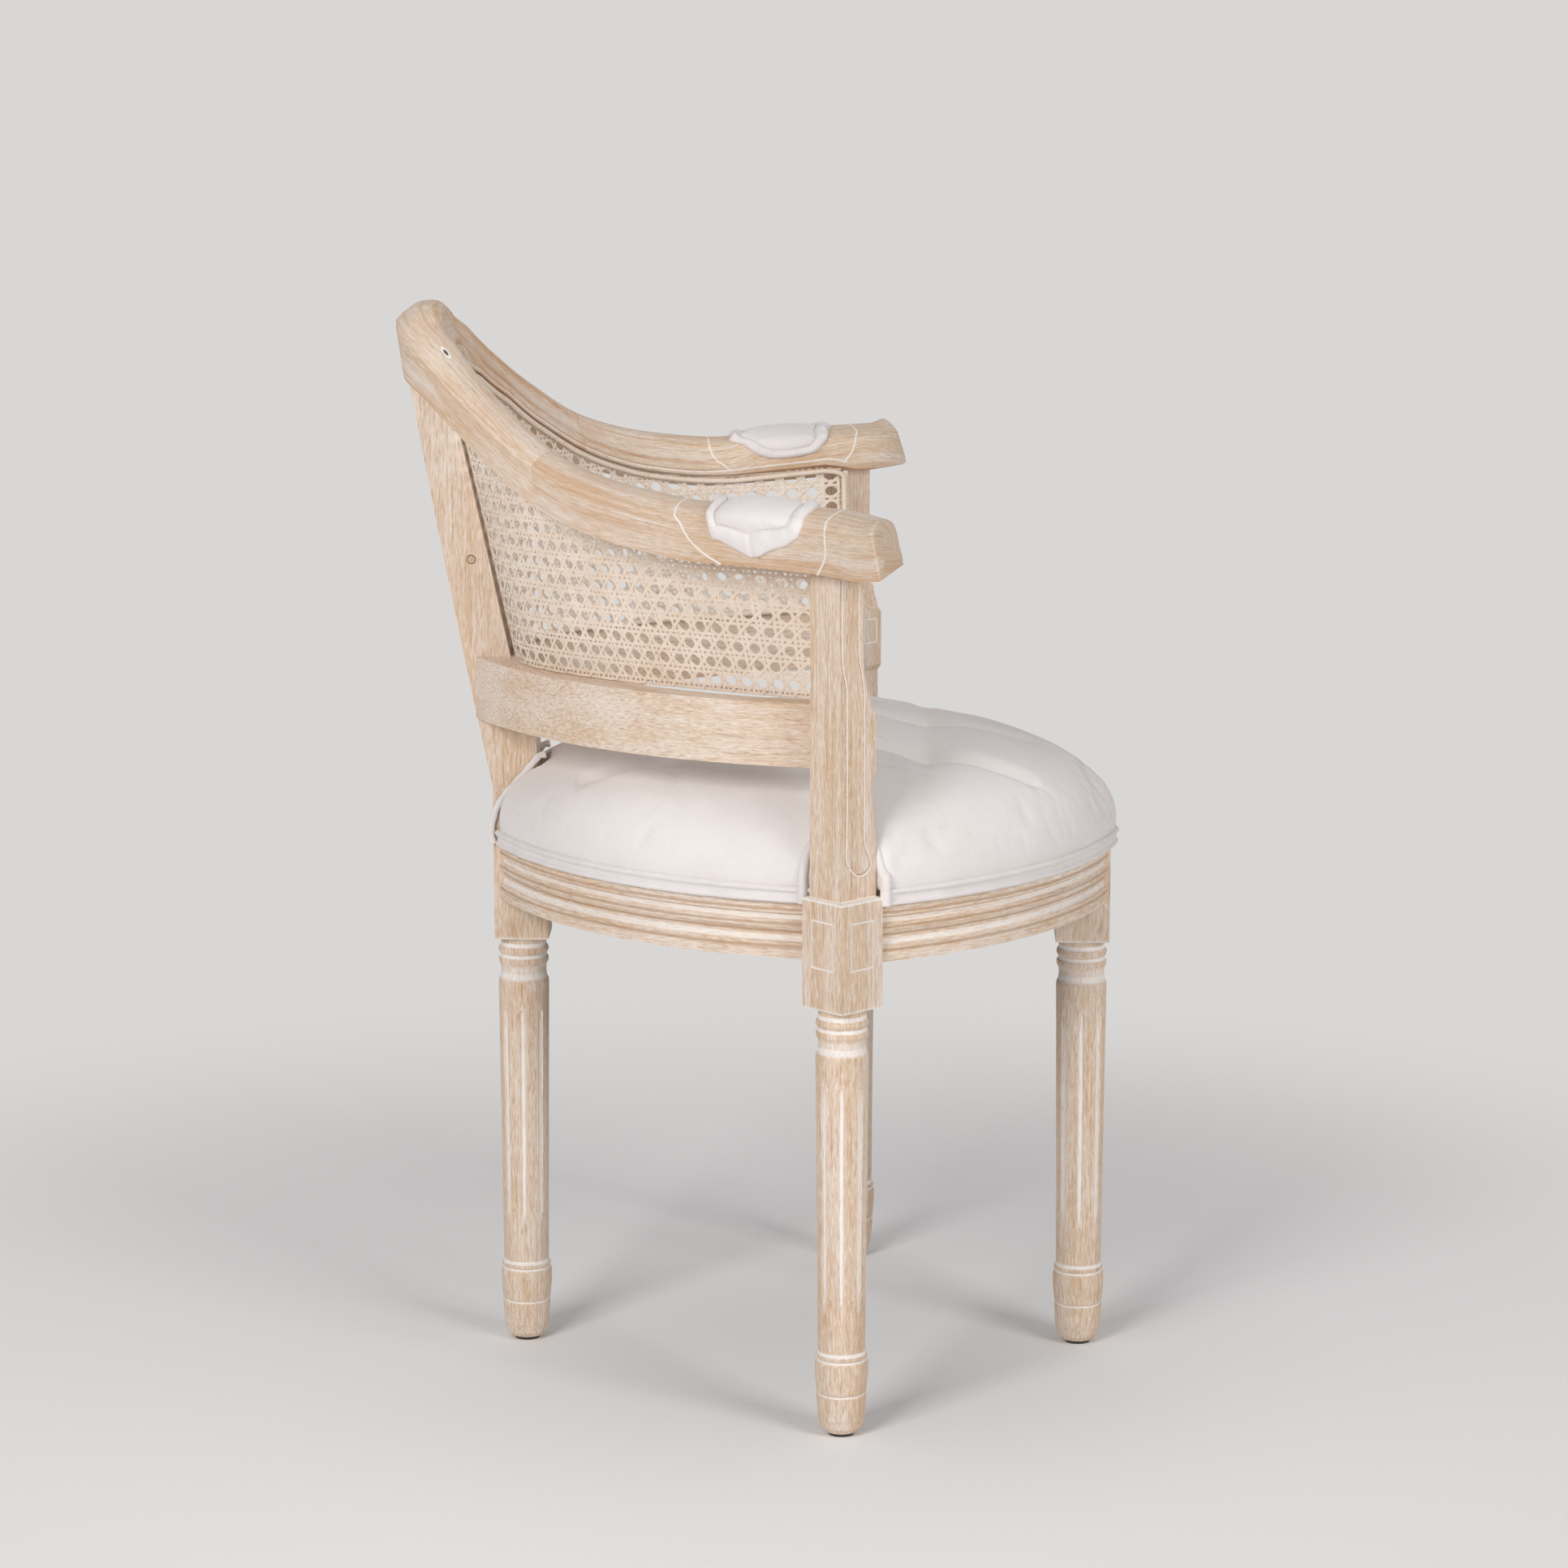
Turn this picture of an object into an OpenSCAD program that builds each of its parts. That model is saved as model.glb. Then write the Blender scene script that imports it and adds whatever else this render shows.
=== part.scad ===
// Corner armchair: four fluted legs set as a diamond, a round tufted seat,
// and a caned barrel back under one sweeping crest and arm rail.
// Millimetres, +Z up, the sitter faces -Y, the floor is z = 0.

/* [Legs] */
// Height of the turned and fluted part of each leg
leg_turned_height = 329; // [300:1:350]
// Side of the square block that takes the seat rails
leg_block = 42; // [39:0.5:45]
// Radius of the turned leg just under its neck
leg_top_radius = 19.8; // [18:0.1:20.8]
// Radius of the turned leg just above its foot
leg_ankle_radius = 17.7; // [16:0.1:18.4]
// Largest radius of the foot
foot_radius = 20.1; // [18.5:0.1:21.5]
// Number of flutes round each leg
flute_count = 8; // [6:1:10]

/* [Seat frame] */
// Distance of each side leg from the middle line
side_leg_x = 240; // [232:1:250]
// Distance of the side legs in front of the origin
side_leg_front = 69; // [64:1:74]
// Distance of the front leg in front of the origin
front_leg_front = 253; // [246:1:260]
// Distance of the back leg behind the origin
back_leg_back = 185; // [180:1:190]
// Radius of the four curved seat rails
seat_rail_radius = 334; // [325:1:345]
// Height of the seat rails
seat_rail_height = 50; // [46:1:54]
// Thickness of the seat rails
seat_rail_thickness = 26; // [24:0.5:28]

/* [Back] */
// Height of the lower back rail above the seat rails
back_rail_lift = 93; // [85:1:105]
// Height of the lower back rail
back_rail_height = 48; // [42:1:54]
// Height of the arms' underside above the lower back rail
arm_lift = 103; // [95:1:115]
// Rise of the crest over the arms
crest_rise = 120; // [105:1:135]
// Width of the crest and arm rail, seen from above
arm_width = 50; // [46:1:54]
// Height of the crest and arm rail
arm_height = 43; // [39:1:47]
// Half of the width of the central back stile
stile_half_width = 21; // [19:0.5:21.5]

/* [Upholstery] */
// Rise of the seat's crown above its hem
cushion_rise = 106; // [95:1:115]
// Depth of the tufts
tuft_depth = 13; // [8:0.5:16]
// Distance between neighbouring tufts
tuft_pitch = 93; // [84:1:100]
// Thickness of the arm pads over the crown of the arm
pad_thickness = 7; // [5:0.5:9]

/* [Hidden] */
$fn = 96;

// one overrun serves every cut, one reach every half space
overrun = 1;
reach = 900;
soft_gap = 0.3;
dowel_gap = 0.15;
half_block = leg_block / 2;

// heights
glide_height = 3;
foot_height = 66;
neck_height = 37;
block_drop = 33;
stile_foot_rise = 38;
rail_bottom_z = leg_turned_height + block_drop;
rail_top_z = rail_bottom_z + seat_rail_height;
hem_height = 8;
hem_z = rail_top_z - hem_height;
back_rail_z = rail_top_z + back_rail_lift;
back_rail_top_z = back_rail_z + back_rail_height;
arm_z = back_rail_top_z + arm_lift;
crest_z = arm_z + crest_rise;
stile_foot_z = rail_top_z + stile_foot_rise;

// turned outlines: share of the radius, share of the stretch's height
foot_shares = [[0.62, 0], [0.78, 0.06], [0.88, 0.18], [0.925, 0.40], [0.93, 0.45],
    [0.875, 0.475], [0.93, 0.50], [0.985, 0.68], [1, 0.78], [0.985, 0.86], [0.93, 0.89],
    [0.895, 0.90], [0.955, 0.925], [0.955, 0.955], [0.90, 0.975]];
neck_shares = [[1, 0], [0.985, 0.05], [0.93, 0.11], [0.90, 0.22], [0.905, 0.34],
    [0.95, 0.40], [0.985, 0.44], [0.985, 0.52], [0.93, 0.56], [0.925, 0.61], [0.97, 0.65],
    [1, 0.70], [0.97, 0.76], [0.915, 0.80], [0.90, 0.90], [0.92, 1]];
flute_radius = 3.2;
flute_top_depth = 1.7;
flute_foot_depth = 0.8;
flute_top_drop = 60;
flute_foot_lift = 42;
flute_top_z = leg_turned_height - flute_top_drop;
flute_foot_z = foot_height + flute_foot_lift;

// incised panel on the outward faces of the side blocks
panel_width = 24;
panel_height = 37;
panel_line = 1.6;
panel_depth = 1;
panel_lift = 31;

// arm post: half widths in the block's own turned frame, and its front outline
// as shares of the block's half side and of the post's height
post_outer = 17;
post_face = 14;
post_back = 17;
post_front_shares = [[1, 0], [0.99, 0.10], [0.95, 0.19], [0.86, 0.24], [0.785, 0.28],
    [0.785, 0.36], [0.965, 0.38], [0.965, 0.56], [0.82, 0.57], [0.64, 0.61], [0.43, 0.67],
    [0.34, 0.73], [0.32, 0.82], [0.315, 1]];

// where the seat rails' outer faces meet the legs
rail_reveal = 2;
back_reveal = 4;
front_start_in = 1;
front_meet_x = 6;
front_meet_y = 31;
back_meet_x = 13;
back_meet_y = 30;
// moulding: share of its depth, share of the height
moulding_depth = 3.4;
moulding_shares = [[0, 0], [0, 0.24], [0.55, 0.255], [0.95, 0.29], [1, 0.34], [0.75, 0.40],
    [0.30, 0.45], [0, 0.475], [0, 0.55], [0.35, 0.57], [0.85, 0.605], [0.8, 0.65],
    [0.3, 0.68], [0, 0.69]];
rabbet_depth = 5;

// lower back rails: their outer arc, and the arc of the cane that stands on them,
// each through a point by the post and one by the stile
back_rail_radius = 370;
rail_side_in = 20;
rail_side_back = 25;
rail_back_in = 1;
rail_back_out = 34;
back_rail_side = [side_leg_x - rail_side_in, rail_side_back - side_leg_front];
back_rail_back = [stile_half_width - rail_back_in, back_leg_back + rail_back_out];
rail_lip = 7;
cane_side_in = 25;
cane_side_ahead = 1;
cane_back_out = 2;
cane_side_x = side_leg_x - cane_side_in;
cane_side_y = -side_leg_front - cane_side_ahead;
cane_back_y = back_leg_back + cane_back_out;
cane_radius = 308;
cane_inset = 7;
cane_thickness = 2.2;
cane_seat = 0.1;
cane_clearance = 0.4;
cane_rows = 2;
// plain openings in the cane: how many, how much of their pitch is open, and
// where they start and end along the line and up the sheet
cane_open_columns = 6;
cane_open_rows = 3;
cane_open_share = 0.62;
cane_open_from_share = 1.05;
cane_open_to_share = 10.35;
cane_rim_share = 0.07;
reed_radius = 2;
reed_sides = 8;
reed_lift = 3.4;
reed_rise_shares = [0.12, 0.3, 0.5, 0.7, 0.88];
reed_end_share = 0.35;
reed_corner_share = 0.3;
// lower edge of the cane, station by station under the crest's own stations
cane_shares = [[0, 1], [0.085, 1], [0.20, 0.985], [0.315, 0.94], [0.425, 0.86], [0.53, 0.755],
    [0.63, 0.63], [0.715, 0.505], [0.79, 0.38], [0.865, 0.26], [0.935, 0.13], [1, 0]];

// central stile, seen from the side: back edge and inner edge
stile_foot_depth = 35;
stile_top_depth = 28.5;
stile_lean = 62.5;
stile_foot_back_y = back_leg_back + half_block;
stile_foot_inner_y = stile_foot_back_y - stile_foot_depth;
stile_top_back_y = stile_foot_back_y + stile_lean;
stile_top_inner_y = stile_top_back_y - stile_top_depth;
stile_bend = 3;
stile_steps = 8;

// crest and arm rail: outer lower edge as shares of the arm's reach, of the
// distance from post to back, and of the rise
arm_past_leg = 22;
arm_behind_leg = 24;
crest_past_stile = 2.5;
arm_reach_x = side_leg_x + arm_past_leg;
arm_post_y = arm_behind_leg - side_leg_front;
crest_back_y = stile_top_back_y + crest_past_stile;
line_shares = [[0, 1, 1], [0.084, 1, 1], [0.20, 0.985, 0.955], [0.30, 0.93, 0.86],
    [0.385, 0.85, 0.67], [0.46, 0.76, 0.46], [0.54, 0.655, 0.255], [0.62, 0.54, 0.125],
    [0.70, 0.41, 0.045], [0.78, 0.285, 0], [0.88, 0.145, 0], [1, 0, 0],
    [1.13, -0.10, 0], [1.235, -0.165, 0.03]];
// stations along the line, in shares of one row of its table
line_step_share = 1 / 3;
joint_share = 6;
post_share = 11;
tip_share = 13;
// width and height along the line, as shares of arm_width and arm_height
width_shares = [[0, 0.84], [6, 0.88], [9, 0.94], [11, 1.10], [13, 1.10]];
height_shares = [[0, 1.14], [1, 1.14], [2.5, 1.03], [4, 0.93], [6, 0.93], [9, 0.98], [11, 1.04],
    [13, 0.94]];
// the moulded inner face runs out into the plain arm between these two
moulded_until_share = 8.4;
plain_from_share = 9.2;
moulded_shares = [[0, 0], [-0.04, 0.25], [-0.08, 0.50], [-0.11, 0.70], [-0.12, 0.76],
    [-0.09, 0.81], [-0.03, 0.84], [0.03, 0.885], [0.14, 0.95], [0.28, 0.99], [0.42, 1],
    [0.55, 0.985], [0.66, 0.94], [0.72, 0.89], [0.735, 0.80], [0.78, 0.66], [0.85, 0.56],
    [0.90, 0.53], [0.92, 0.44], [0.955, 0.42], [0.965, 0.32], [1, 0.28], [1, 0.16],
    [0.97, 0.12], [0.97, 0]];
plain_shares = [[0, 0], [-0.04, 0.25], [-0.08, 0.50], [-0.10, 0.66], [-0.10, 0.74],
    [-0.085, 0.80], [-0.05, 0.85], [0, 0.89], [0.12, 0.95], [0.28, 0.99], [0.42, 1],
    [0.55, 0.99], [0.68, 0.96], [0.80, 0.91], [0.88, 0.85], [0.935, 0.77], [0.965, 0.68],
    [0.98, 0.60], [0.99, 0.50], [0.995, 0.42], [1, 0.34], [1, 0.26], [1, 0.16],
    [0.985, 0.08], [0.97, 0]];
section_middle_shares = [0.45, 0.5];
tip_turn_shares = [-0.985, -0.17];
tip_rake = 11;
nose = 3;
nose_share = 0.88;

// joints
dowel_radius = 4;
dowel_length = 36;
plug_radius = 3.6;
plug_depth = 8;
plug_proud = 0.3;
plug_drop = 27;
plug_back = 36;
plug_z = arm_z - plug_drop;
plug_y = back_leg_back + plug_back;

// inner seat
board_thickness = 12;
board_top_z = rail_top_z + board_thickness;
brace_thickness = 26;
brace_height = 32;
brace_drop = 6;
screw_radius = 3;
screw_length = 46;
screw_head_radius = 6;
screw_head = 4;
cover_thickness = 1;
cover_inset = 8;
glide_radius = 9.5;

// cushion rings: share of the outline, share of the rise
seat_middle = [0, -35];
hem_proud = 3;
cushion_shares = [[0.985, 0], [1, 0.02], [1, 0.085], [0.988, 0.10], [1, 0.13], [1.008, 0.22],
    [1.002, 0.34], [0.970, 0.47], [0.905, 0.60], [0.81, 0.705], [0.69, 0.80], [0.56, 0.875],
    [0.42, 0.935], [0.28, 0.975], [0.14, 0.995]];
cushion_turns = 56;
tuft_spread = 30;
tuft_rows = [-1, 0, 1];
// the tufts take hold between these two shares of the rise
tuft_from_share = 0.6;
tuft_full_share = 0.85;

// arm pads: where they start and end on the line, and their outline as
// [share of the length, outer edge, inner edge], the edges in points of the section
pad_from_share = 9.05;
pad_to_share = 10.95;
pad_cross = 12;
pad_outline_shares = [[0, 11.2, 12.4], [0.09, 10.4, 14.7], [0.15, 6.5, 16], [0.21, 2.3, 16.9],
    [0.29, 1.7, 17.3], [0.38, 1.3, 17.4], [0.47, 1, 17.4], [0.58, 0.8, 17], [0.71, 1.3, 15],
    [0.82, 1.7, 12.2], [0.89, 2, 11], [0.95, 2.6, 9.2], [1, 4.6, 6.4]];
pad_edge_share = 0.25;
pad_round_share = 0.6;
pad_gap = 0.45;

// small helpers
function mix(a, b, t) = a + (b - a) * t;
function clamp(t) = max(0, min(1, t));
function spline(p, t) =
    let (i = min(floor(t), len(p) - 2), f = t - i,
         a = p[max(i - 1, 0)], b = p[i], c = p[i + 1], d = p[min(i + 2, len(p) - 1)])
    0.5 * (2 * b + (c - a) * f + (2 * a - 5 * b + 4 * c - d) * f * f
        + (3 * b - a - 3 * c + d) * f * f * f);
function arc_centre(p, q, r) =
    let (m = (p + q) / 2, d = q - p, n = [d.y, -d.x] / norm(d),
         side = n * m > 0 ? 1 : -1)
    m - n * side * sqrt(r * r - d * d / 4);
function quadratic(a, b, c, t) = mix(mix(a, b, t), mix(b, c, t), t);

// plan of the seat: four arcs, each about its own centre, given for +X
front_start = [half_block - front_start_in, -front_leg_front - half_block + rail_reveal];
front_end = [side_leg_x - front_meet_x, -side_leg_front - front_meet_y];
back_start = [half_block - rail_reveal, back_leg_back + half_block - back_reveal];
back_end = [side_leg_x - back_meet_x, -side_leg_front + back_meet_y];
front_centre = arc_centre(front_start, front_end, seat_rail_radius);
back_centre = arc_centre(back_start, back_end, seat_rail_radius);
seat_centres = [front_centre, back_centre,
    [-front_centre.x, front_centre.y], [-back_centre.x, back_centre.y]];
function reach_of(c, a, r) =
    let (d = [cos(a), sin(a)], k = c * d) k + sqrt(r * r - c * c + k * k);
function seat_radius(a, grow) =
    min([for (c = seat_centres) reach_of(c - seat_middle, a, seat_rail_radius + grow)]);
function seat_edge(a, share, grow) =
    seat_middle + share * seat_radius(a, grow) * [cos(a), sin(a)];

// crest and arm line
function line_at(t) =
    let (s = t <= 1 ? mix(line_shares[0], line_shares[1], t) : spline(line_shares, t))
    [s.x * arm_reach_x, mix(arm_post_y, crest_back_y, s.y), arm_z + max(0, s.z) * crest_rise];
function line_way(t) =
    t <= 1 ? [1, 0] :
    let (e = line_step_share / 4, d = line_at(min(t + e, tip_share)) - line_at(t - e))
    [d.x, d.y] / norm([d.x, d.y]);
function line_in(t) =
    let (w = line_way(t), n = [w.y, -w.x], k = clamp((t - post_share) / (tip_share - post_share)),
         m = mix(n, tip_turn_shares, k))
    m / norm(m);
function width_at(t) = arm_width * lookup(t, width_shares);
function height_at(t) = arm_height * lookup(t, height_shares);
function section_shares(t) =
    let (k = clamp((t - moulded_until_share) / (plain_from_share - moulded_until_share)))
    [for (i = [0 : len(plain_shares) - 1]) mix(moulded_shares[i], plain_shares[i], k)];
function on_section(t, s) =
    let (p = line_at(t), n = line_in(t), u = s.x * width_at(t),
         k = clamp(t - tip_share + 1), r = line_way(t) * tip_rake * k * (0.5 - s.y))
    [p.x + n.x * u + r.x, p.y + n.y * u + r.y, p.z + s.y * height_at(t)];
function ring_at(t) = [for (s = section_shares(t)) on_section(t, s)];
function mirrored(ring) = [for (p = ring) [-p.x, p.y, p.z]];
function nose_ring() =
    let (c = on_section(tip_share, section_middle_shares), w = line_way(tip_share))
    [for (p = ring_at(tip_share)) mix(c, p, nose_share) + nose * [w.x, w.y, 0]];

// closed skin over a row of rings that all have the same number of points
module loft(rings) {
    n = len(rings[0]);
    m = len(rings);
    ends = [for (r = [rings[0], rings[m - 1]]) [for (k = [0 : 2]) (min([for (p = r) p[k]])
        + max([for (p = r) p[k]])) / 2]];
    points = concat([for (r = rings) for (p = r) p], ends);
    sides = [for (i = [0 : m - 2]) for (j = [0 : n - 1])
        let (a = i * n + j, b = i * n + (j + 1) % n, c = a + n, d = b + n)
        for (f = [[a, c, b], [b, c, d]]) f];
    caps = [for (j = [0 : n - 1]) let (k = (j + 1) % n)
        for (f = [[m * n, j, k], [m * n + 1, (m - 1) * n + k, (m - 1) * n + j]]) f];
    polyhedron(points, concat(sides, caps), convexity = 10);
}

// joints: wooden dowels, each given by its middle and its direction
diagonal = 1 / sqrt(2);
low_dowel_share = 0.3;
high_dowel_share = 0.72;
side_dowel_share = 0.33;
post_dowel_share = 0.6;
arm_dowel_share = 0.3;
low_dowel_z = mix(rail_bottom_z, rail_top_z, low_dowel_share);
high_dowel_z = mix(rail_bottom_z, rail_top_z, high_dowel_share);
back_dowel_z = (back_rail_z + back_rail_top_z) / 2;
seat_dowel_share = 0.73;
seat_dowel_inset = seat_dowel_share * seat_rail_thickness;
back_dowel_inset = 16;
side_middle = [side_leg_x, -side_leg_front];
function from_block(a, b) = side_middle + [a - b, a + b] * diagonal;
function up(p, z) = [p.x, p.y, z];

module dowel_at(p, way, gap) {
    w = way / norm(way);
    translate(p)
        rotate([0, acos(w.z), atan2(w.y, w.x)])
            cylinder(r = dowel_radius + gap, h = dowel_length + 2 * gap, center = true, $fn = 32);
}

module dowel_places(gap) {
    joint = on_section(joint_share, section_middle_shares);
    ahead = on_section(joint_share + line_step_share, section_middle_shares);
    for (s = [0, 1]) mirror([s, 0, 0]) {
        dowel_at([half_block, front_start.y + seat_dowel_inset, low_dowel_z], [1, 0, 0], gap);
        dowel_at([half_block, back_start.y - seat_dowel_inset, low_dowel_z], [1, 0, 0], gap);
        dowel_at(up(from_block(-half_block, 0), low_dowel_z), [1, 1, 0], gap);
        dowel_at(up(from_block(-half_block * side_dowel_share, half_block), high_dowel_z),
            [-1, 1, 0], gap);
        dowel_at(up(from_block(-half_block * post_dowel_share, post_back), back_dowel_z),
            [-1, 1, 0], gap);
        dowel_at([stile_half_width, back_rail_back.y - back_dowel_inset, back_dowel_z],
            [1, 0, 0], gap);
        dowel_at(up(from_block(post_outer * arm_dowel_share, 0), arm_z), [0, 0, 1], gap);
        dowel_at(joint, ahead - joint, gap);
    }
    dowel_at([0, (stile_top_back_y + stile_top_inner_y) / 2, crest_z], [0, 0, 1], gap);
    dowel_at([0, (stile_foot_back_y + stile_foot_inner_y) / 2, stile_foot_z], [0, 0, 1], gap);
}

module dowels() {
    color("Peru") dowel_places(0);
}

// screws that pull the corner braces to the legs, each along +X at its own place
brace_z = rail_top_z - brace_drop - brace_height;
screw_z = brace_z + brace_height / 2;
side_brace_x = side_leg_x - half_block / diagonal - brace_thickness;
module screw_form(gap) {
    translate([0, 0, screw_z]) rotate([0, 90, 0]) {
        cylinder(r = screw_radius + gap, h = screw_length + gap, $fn = 32);
        translate([0, 0, -screw_head]) cylinder(r = screw_head_radius, h = screw_head, $fn = 32);
    }
}

module screw_places(gap) {
    for (s = [0, 1]) mirror([s, 0, 0])
        translate([side_brace_x, -side_leg_front, 0]) screw_form(gap);
    translate([0, -front_leg_front + half_block + brace_thickness, 0])
        rotate([0, 0, -90]) screw_form(gap);
    translate([0, back_leg_back - half_block - brace_thickness, 0])
        rotate([0, 0, 90]) screw_form(gap);
}

module brace_screws() {
    color("Silver") screw_places(0);
}

// one turned and fluted leg with its axis on the origin
module turned_leg() {
    neck_z = leg_turned_height - neck_height;
    foot = [for (s = foot_shares) [s.x * foot_radius, mix(glide_height, foot_height, s.y)]];
    neck = [for (s = neck_shares) [s.x * leg_top_radius, neck_z + s.y * neck_height]];
    neck_end_radius = neck[len(neck) - 1].x;
    difference() {
        rotate_extrude()
            polygon(concat([[0, glide_height]], foot, [[leg_ankle_radius, foot_height]], neck,
                [[neck_end_radius, leg_turned_height + overrun], [0, leg_turned_height + overrun]]));
        for (k = [0 : flute_count - 1]) rotate([0, 0, k * 360 / flute_count]) flute();
    }
}

module flute() {
    top_x = leg_top_radius + flute_radius - flute_top_depth;
    foot_x = leg_ankle_radius + flute_radius - flute_foot_depth;
    length = flute_top_z - flute_foot_z;
    translate([foot_x, 0, flute_foot_z]) rotate([0, atan((top_x - foot_x) / length), 0]) {
        cylinder(r = flute_radius, h = length, $fn = 24);
        sphere(r = flute_radius, $fn = 24);
        translate([0, 0, length]) sphere(r = flute_radius, $fn = 24);
    }
}

module block(height) {
    translate([-half_block, -half_block, leg_turned_height]) cube([leg_block, leg_block, height]);
}

module front_leg() {
    color("BurlyWood") difference() {
        translate([0, -front_leg_front, 0]) {
            turned_leg();
            block(rail_top_z - leg_turned_height);
        }
        translate([-half_block - overrun, front_start.y + rabbet_depth - reach, hem_z])
            cube([leg_block + 2 * overrun, reach, reach]);
        dowel_places(dowel_gap);
        screw_places(dowel_gap);
    }
}

module back_leg() {
    color("BurlyWood") difference() {
        translate([0, back_leg_back, 0]) {
            turned_leg();
            block(stile_foot_z - leg_turned_height);
        }
        dowel_places(dowel_gap);
        screw_places(dowel_gap);
    }
}

// side leg, its block turned corner outward and the arm post in one piece
module side_leg_form() {
    difference() {
        translate([side_leg_x, -side_leg_front, 0]) {
            turned_leg();
            rotate([0, 0, 45]) {
                difference() {
                    block(rail_top_z - leg_turned_height);
                    translate([half_block, 0, 0]) panel_line_cut();
                    translate([0, -half_block, 0]) rotate([0, 0, -90]) panel_line_cut();
                }
                post_form();
            }
        }
        dowel_places(dowel_gap);
        screw_places(dowel_gap);
    }
}

module post_form() {
    height = arm_z - rail_top_z;
    front = [for (s = post_front_shares) [-half_block * s.x, rail_top_z + s.y * height]];
    translate([0, post_back, 0]) rotate([90, 0, 0]) linear_extrude(post_back + post_face)
        polygon(concat([[post_outer, rail_top_z - overrun], [-post_face, rail_top_z - overrun]],
            front, [[post_outer, arm_z]]));
}

module panel_line_cut() {
    z = leg_turned_height + panel_lift;
    difference() {
        translate([-panel_depth, -panel_width / 2, z])
            cube([panel_depth + overrun, panel_width, panel_height]);
        translate([-panel_depth - overrun, panel_line - panel_width / 2, z + panel_line])
            cube([panel_depth + 3 * overrun, panel_width - 2 * panel_line,
                panel_height - 2 * panel_line]);
    }
}

module left_leg_post() {
    color("BurlyWood") mirror([1, 0, 0]) side_leg_form();
}

module right_leg_post() {
    color("BurlyWood") side_leg_form();
}

// half spaces that end the rails on the legs
module beyond_middle_block() {
    translate([half_block - reach, -reach, 0]) cube([reach, 2 * reach, reach]);
}

module beyond_front_face() {
    translate([side_leg_x, -side_leg_front, 0]) rotate([0, 0, 45])
        translate([-half_block, -reach, 0]) cube([reach, 2 * reach, reach]);
}

module beyond_back_face(inset) {
    translate([side_leg_x, -side_leg_front, 0]) rotate([0, 0, 45])
        translate([-reach, inset - reach, 0]) cube([2 * reach, reach, reach]);
}

module beyond_side_screw() {
    translate([0, screw_radius + dowel_gap - side_leg_front - reach, 0]) cube(reach);
}

module seat_arc(centre) {
    r = seat_rail_radius;
    height = seat_rail_height;
    face = [for (s = moulding_shares) [r - s.x * moulding_depth, rail_bottom_z + s.y * height]];
    translate([centre.x, centre.y, 0]) rotate_extrude($fn = 240)
        polygon(concat(face, [[r, hem_z], [r - rabbet_depth, hem_z], [r - rabbet_depth, rail_top_z],
            [r - seat_rail_thickness, rail_top_z], [r - seat_rail_thickness, rail_bottom_z]]));
}

module front_rail_form() {
    difference() {
        seat_arc(front_centre);
        beyond_middle_block();
        beyond_front_face();
        dowel_places(dowel_gap);
    }
}

module back_rail_form() {
    difference() {
        seat_arc(back_centre);
        beyond_middle_block();
        beyond_back_face(half_block);
        beyond_side_screw();
        dowel_places(dowel_gap);
    }
}

module front_left_rail() {
    color("Tan") mirror([1, 0, 0]) front_rail_form();
}

module front_right_rail() {
    color("Tan") front_rail_form();
}

module back_left_rail() {
    color("Tan") mirror([1, 0, 0]) back_rail_form();
}

module back_right_rail() {
    color("Tan") back_rail_form();
}

// plan of the seat, grown or shrunk from the rails' outer faces
module seat_plan(grow) {
    intersection_for (c = seat_centres) translate(c) circle(r = seat_rail_radius + grow, $fn = 240);
}

module corner_braces() {
    inner_front = -front_leg_front + half_block;
    inner_back = back_leg_back - half_block;
    color("SandyBrown") difference() {
        translate([0, 0, brace_z]) linear_extrude(brace_height) intersection() {
            seat_plan(-seat_rail_thickness);
            union() {
                translate([-reach / 2, inner_front]) square([reach, brace_thickness]);
                translate([-reach / 2, inner_back - brace_thickness]) square([reach, brace_thickness]);
                for (s = [0, 1]) mirror([s, 0])
                    translate([side_brace_x, -side_leg_front - reach / 2])
                        square([brace_thickness, reach]);
            }
        }
        screw_places(dowel_gap);
    }
}

// lower back rail between a post and the stile
module low_rail_form() {
    outer = arc_centre(back_rail_side, back_rail_back, back_rail_radius);
    difference() {
        translate([0, 0, back_rail_z]) linear_extrude(back_rail_height) difference() {
            translate(outer) circle(r = back_rail_radius, $fn = 240);
            translate(low_inner) circle(r = low_inner_radius, $fn = 240);
        }
        translate([stile_half_width - reach, -reach, 0]) cube([reach, 2 * reach, reach]);
        beyond_back_face(post_back);
        dowel_places(dowel_gap);
    }
}

module left_back_rail() {
    color("Wheat") mirror([1, 0, 0]) low_rail_form();
}

module right_back_rail() {
    color("Wheat") low_rail_form();
}

// raked stile, seen from the side: back edge up, inner edge down, with a lap
// level with the lower back rails under the cane
low_inner = arc_centre([cane_side_x, cane_side_y], [0, cane_back_y], cane_radius);
low_inner_radius = cane_radius - rail_lip;
stile_lap_y = low_inner.y + sqrt(pow(low_inner_radius, 2) - pow(stile_half_width - low_inner.x, 2));
function stile_outline(grow) =
    let (bend = [stile_bend, 0],
         a = [stile_foot_back_y, stile_foot_z], b = [stile_top_back_y, crest_z],
         c = [stile_top_inner_y - grow, crest_z], d = [stile_foot_inner_y - grow, stile_foot_z],
         inner = [for (k = [0 : stile_steps]) quadratic(c, (c + d) / 2 - bend, d, k / stile_steps)],
         above = [for (p = inner) if (p.y > back_rail_top_z) p],
         share = (back_rail_top_z - d.y) / (c.y - d.y), turn = mix(d, c, share) - bend / 2)
    concat([for (k = [0 : stile_steps]) quadratic(a, (a + b) / 2 + bend, b, k / stile_steps)],
        above, [turn, [stile_lap_y - grow, back_rail_top_z], [stile_lap_y - grow, back_rail_z], d]);

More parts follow.
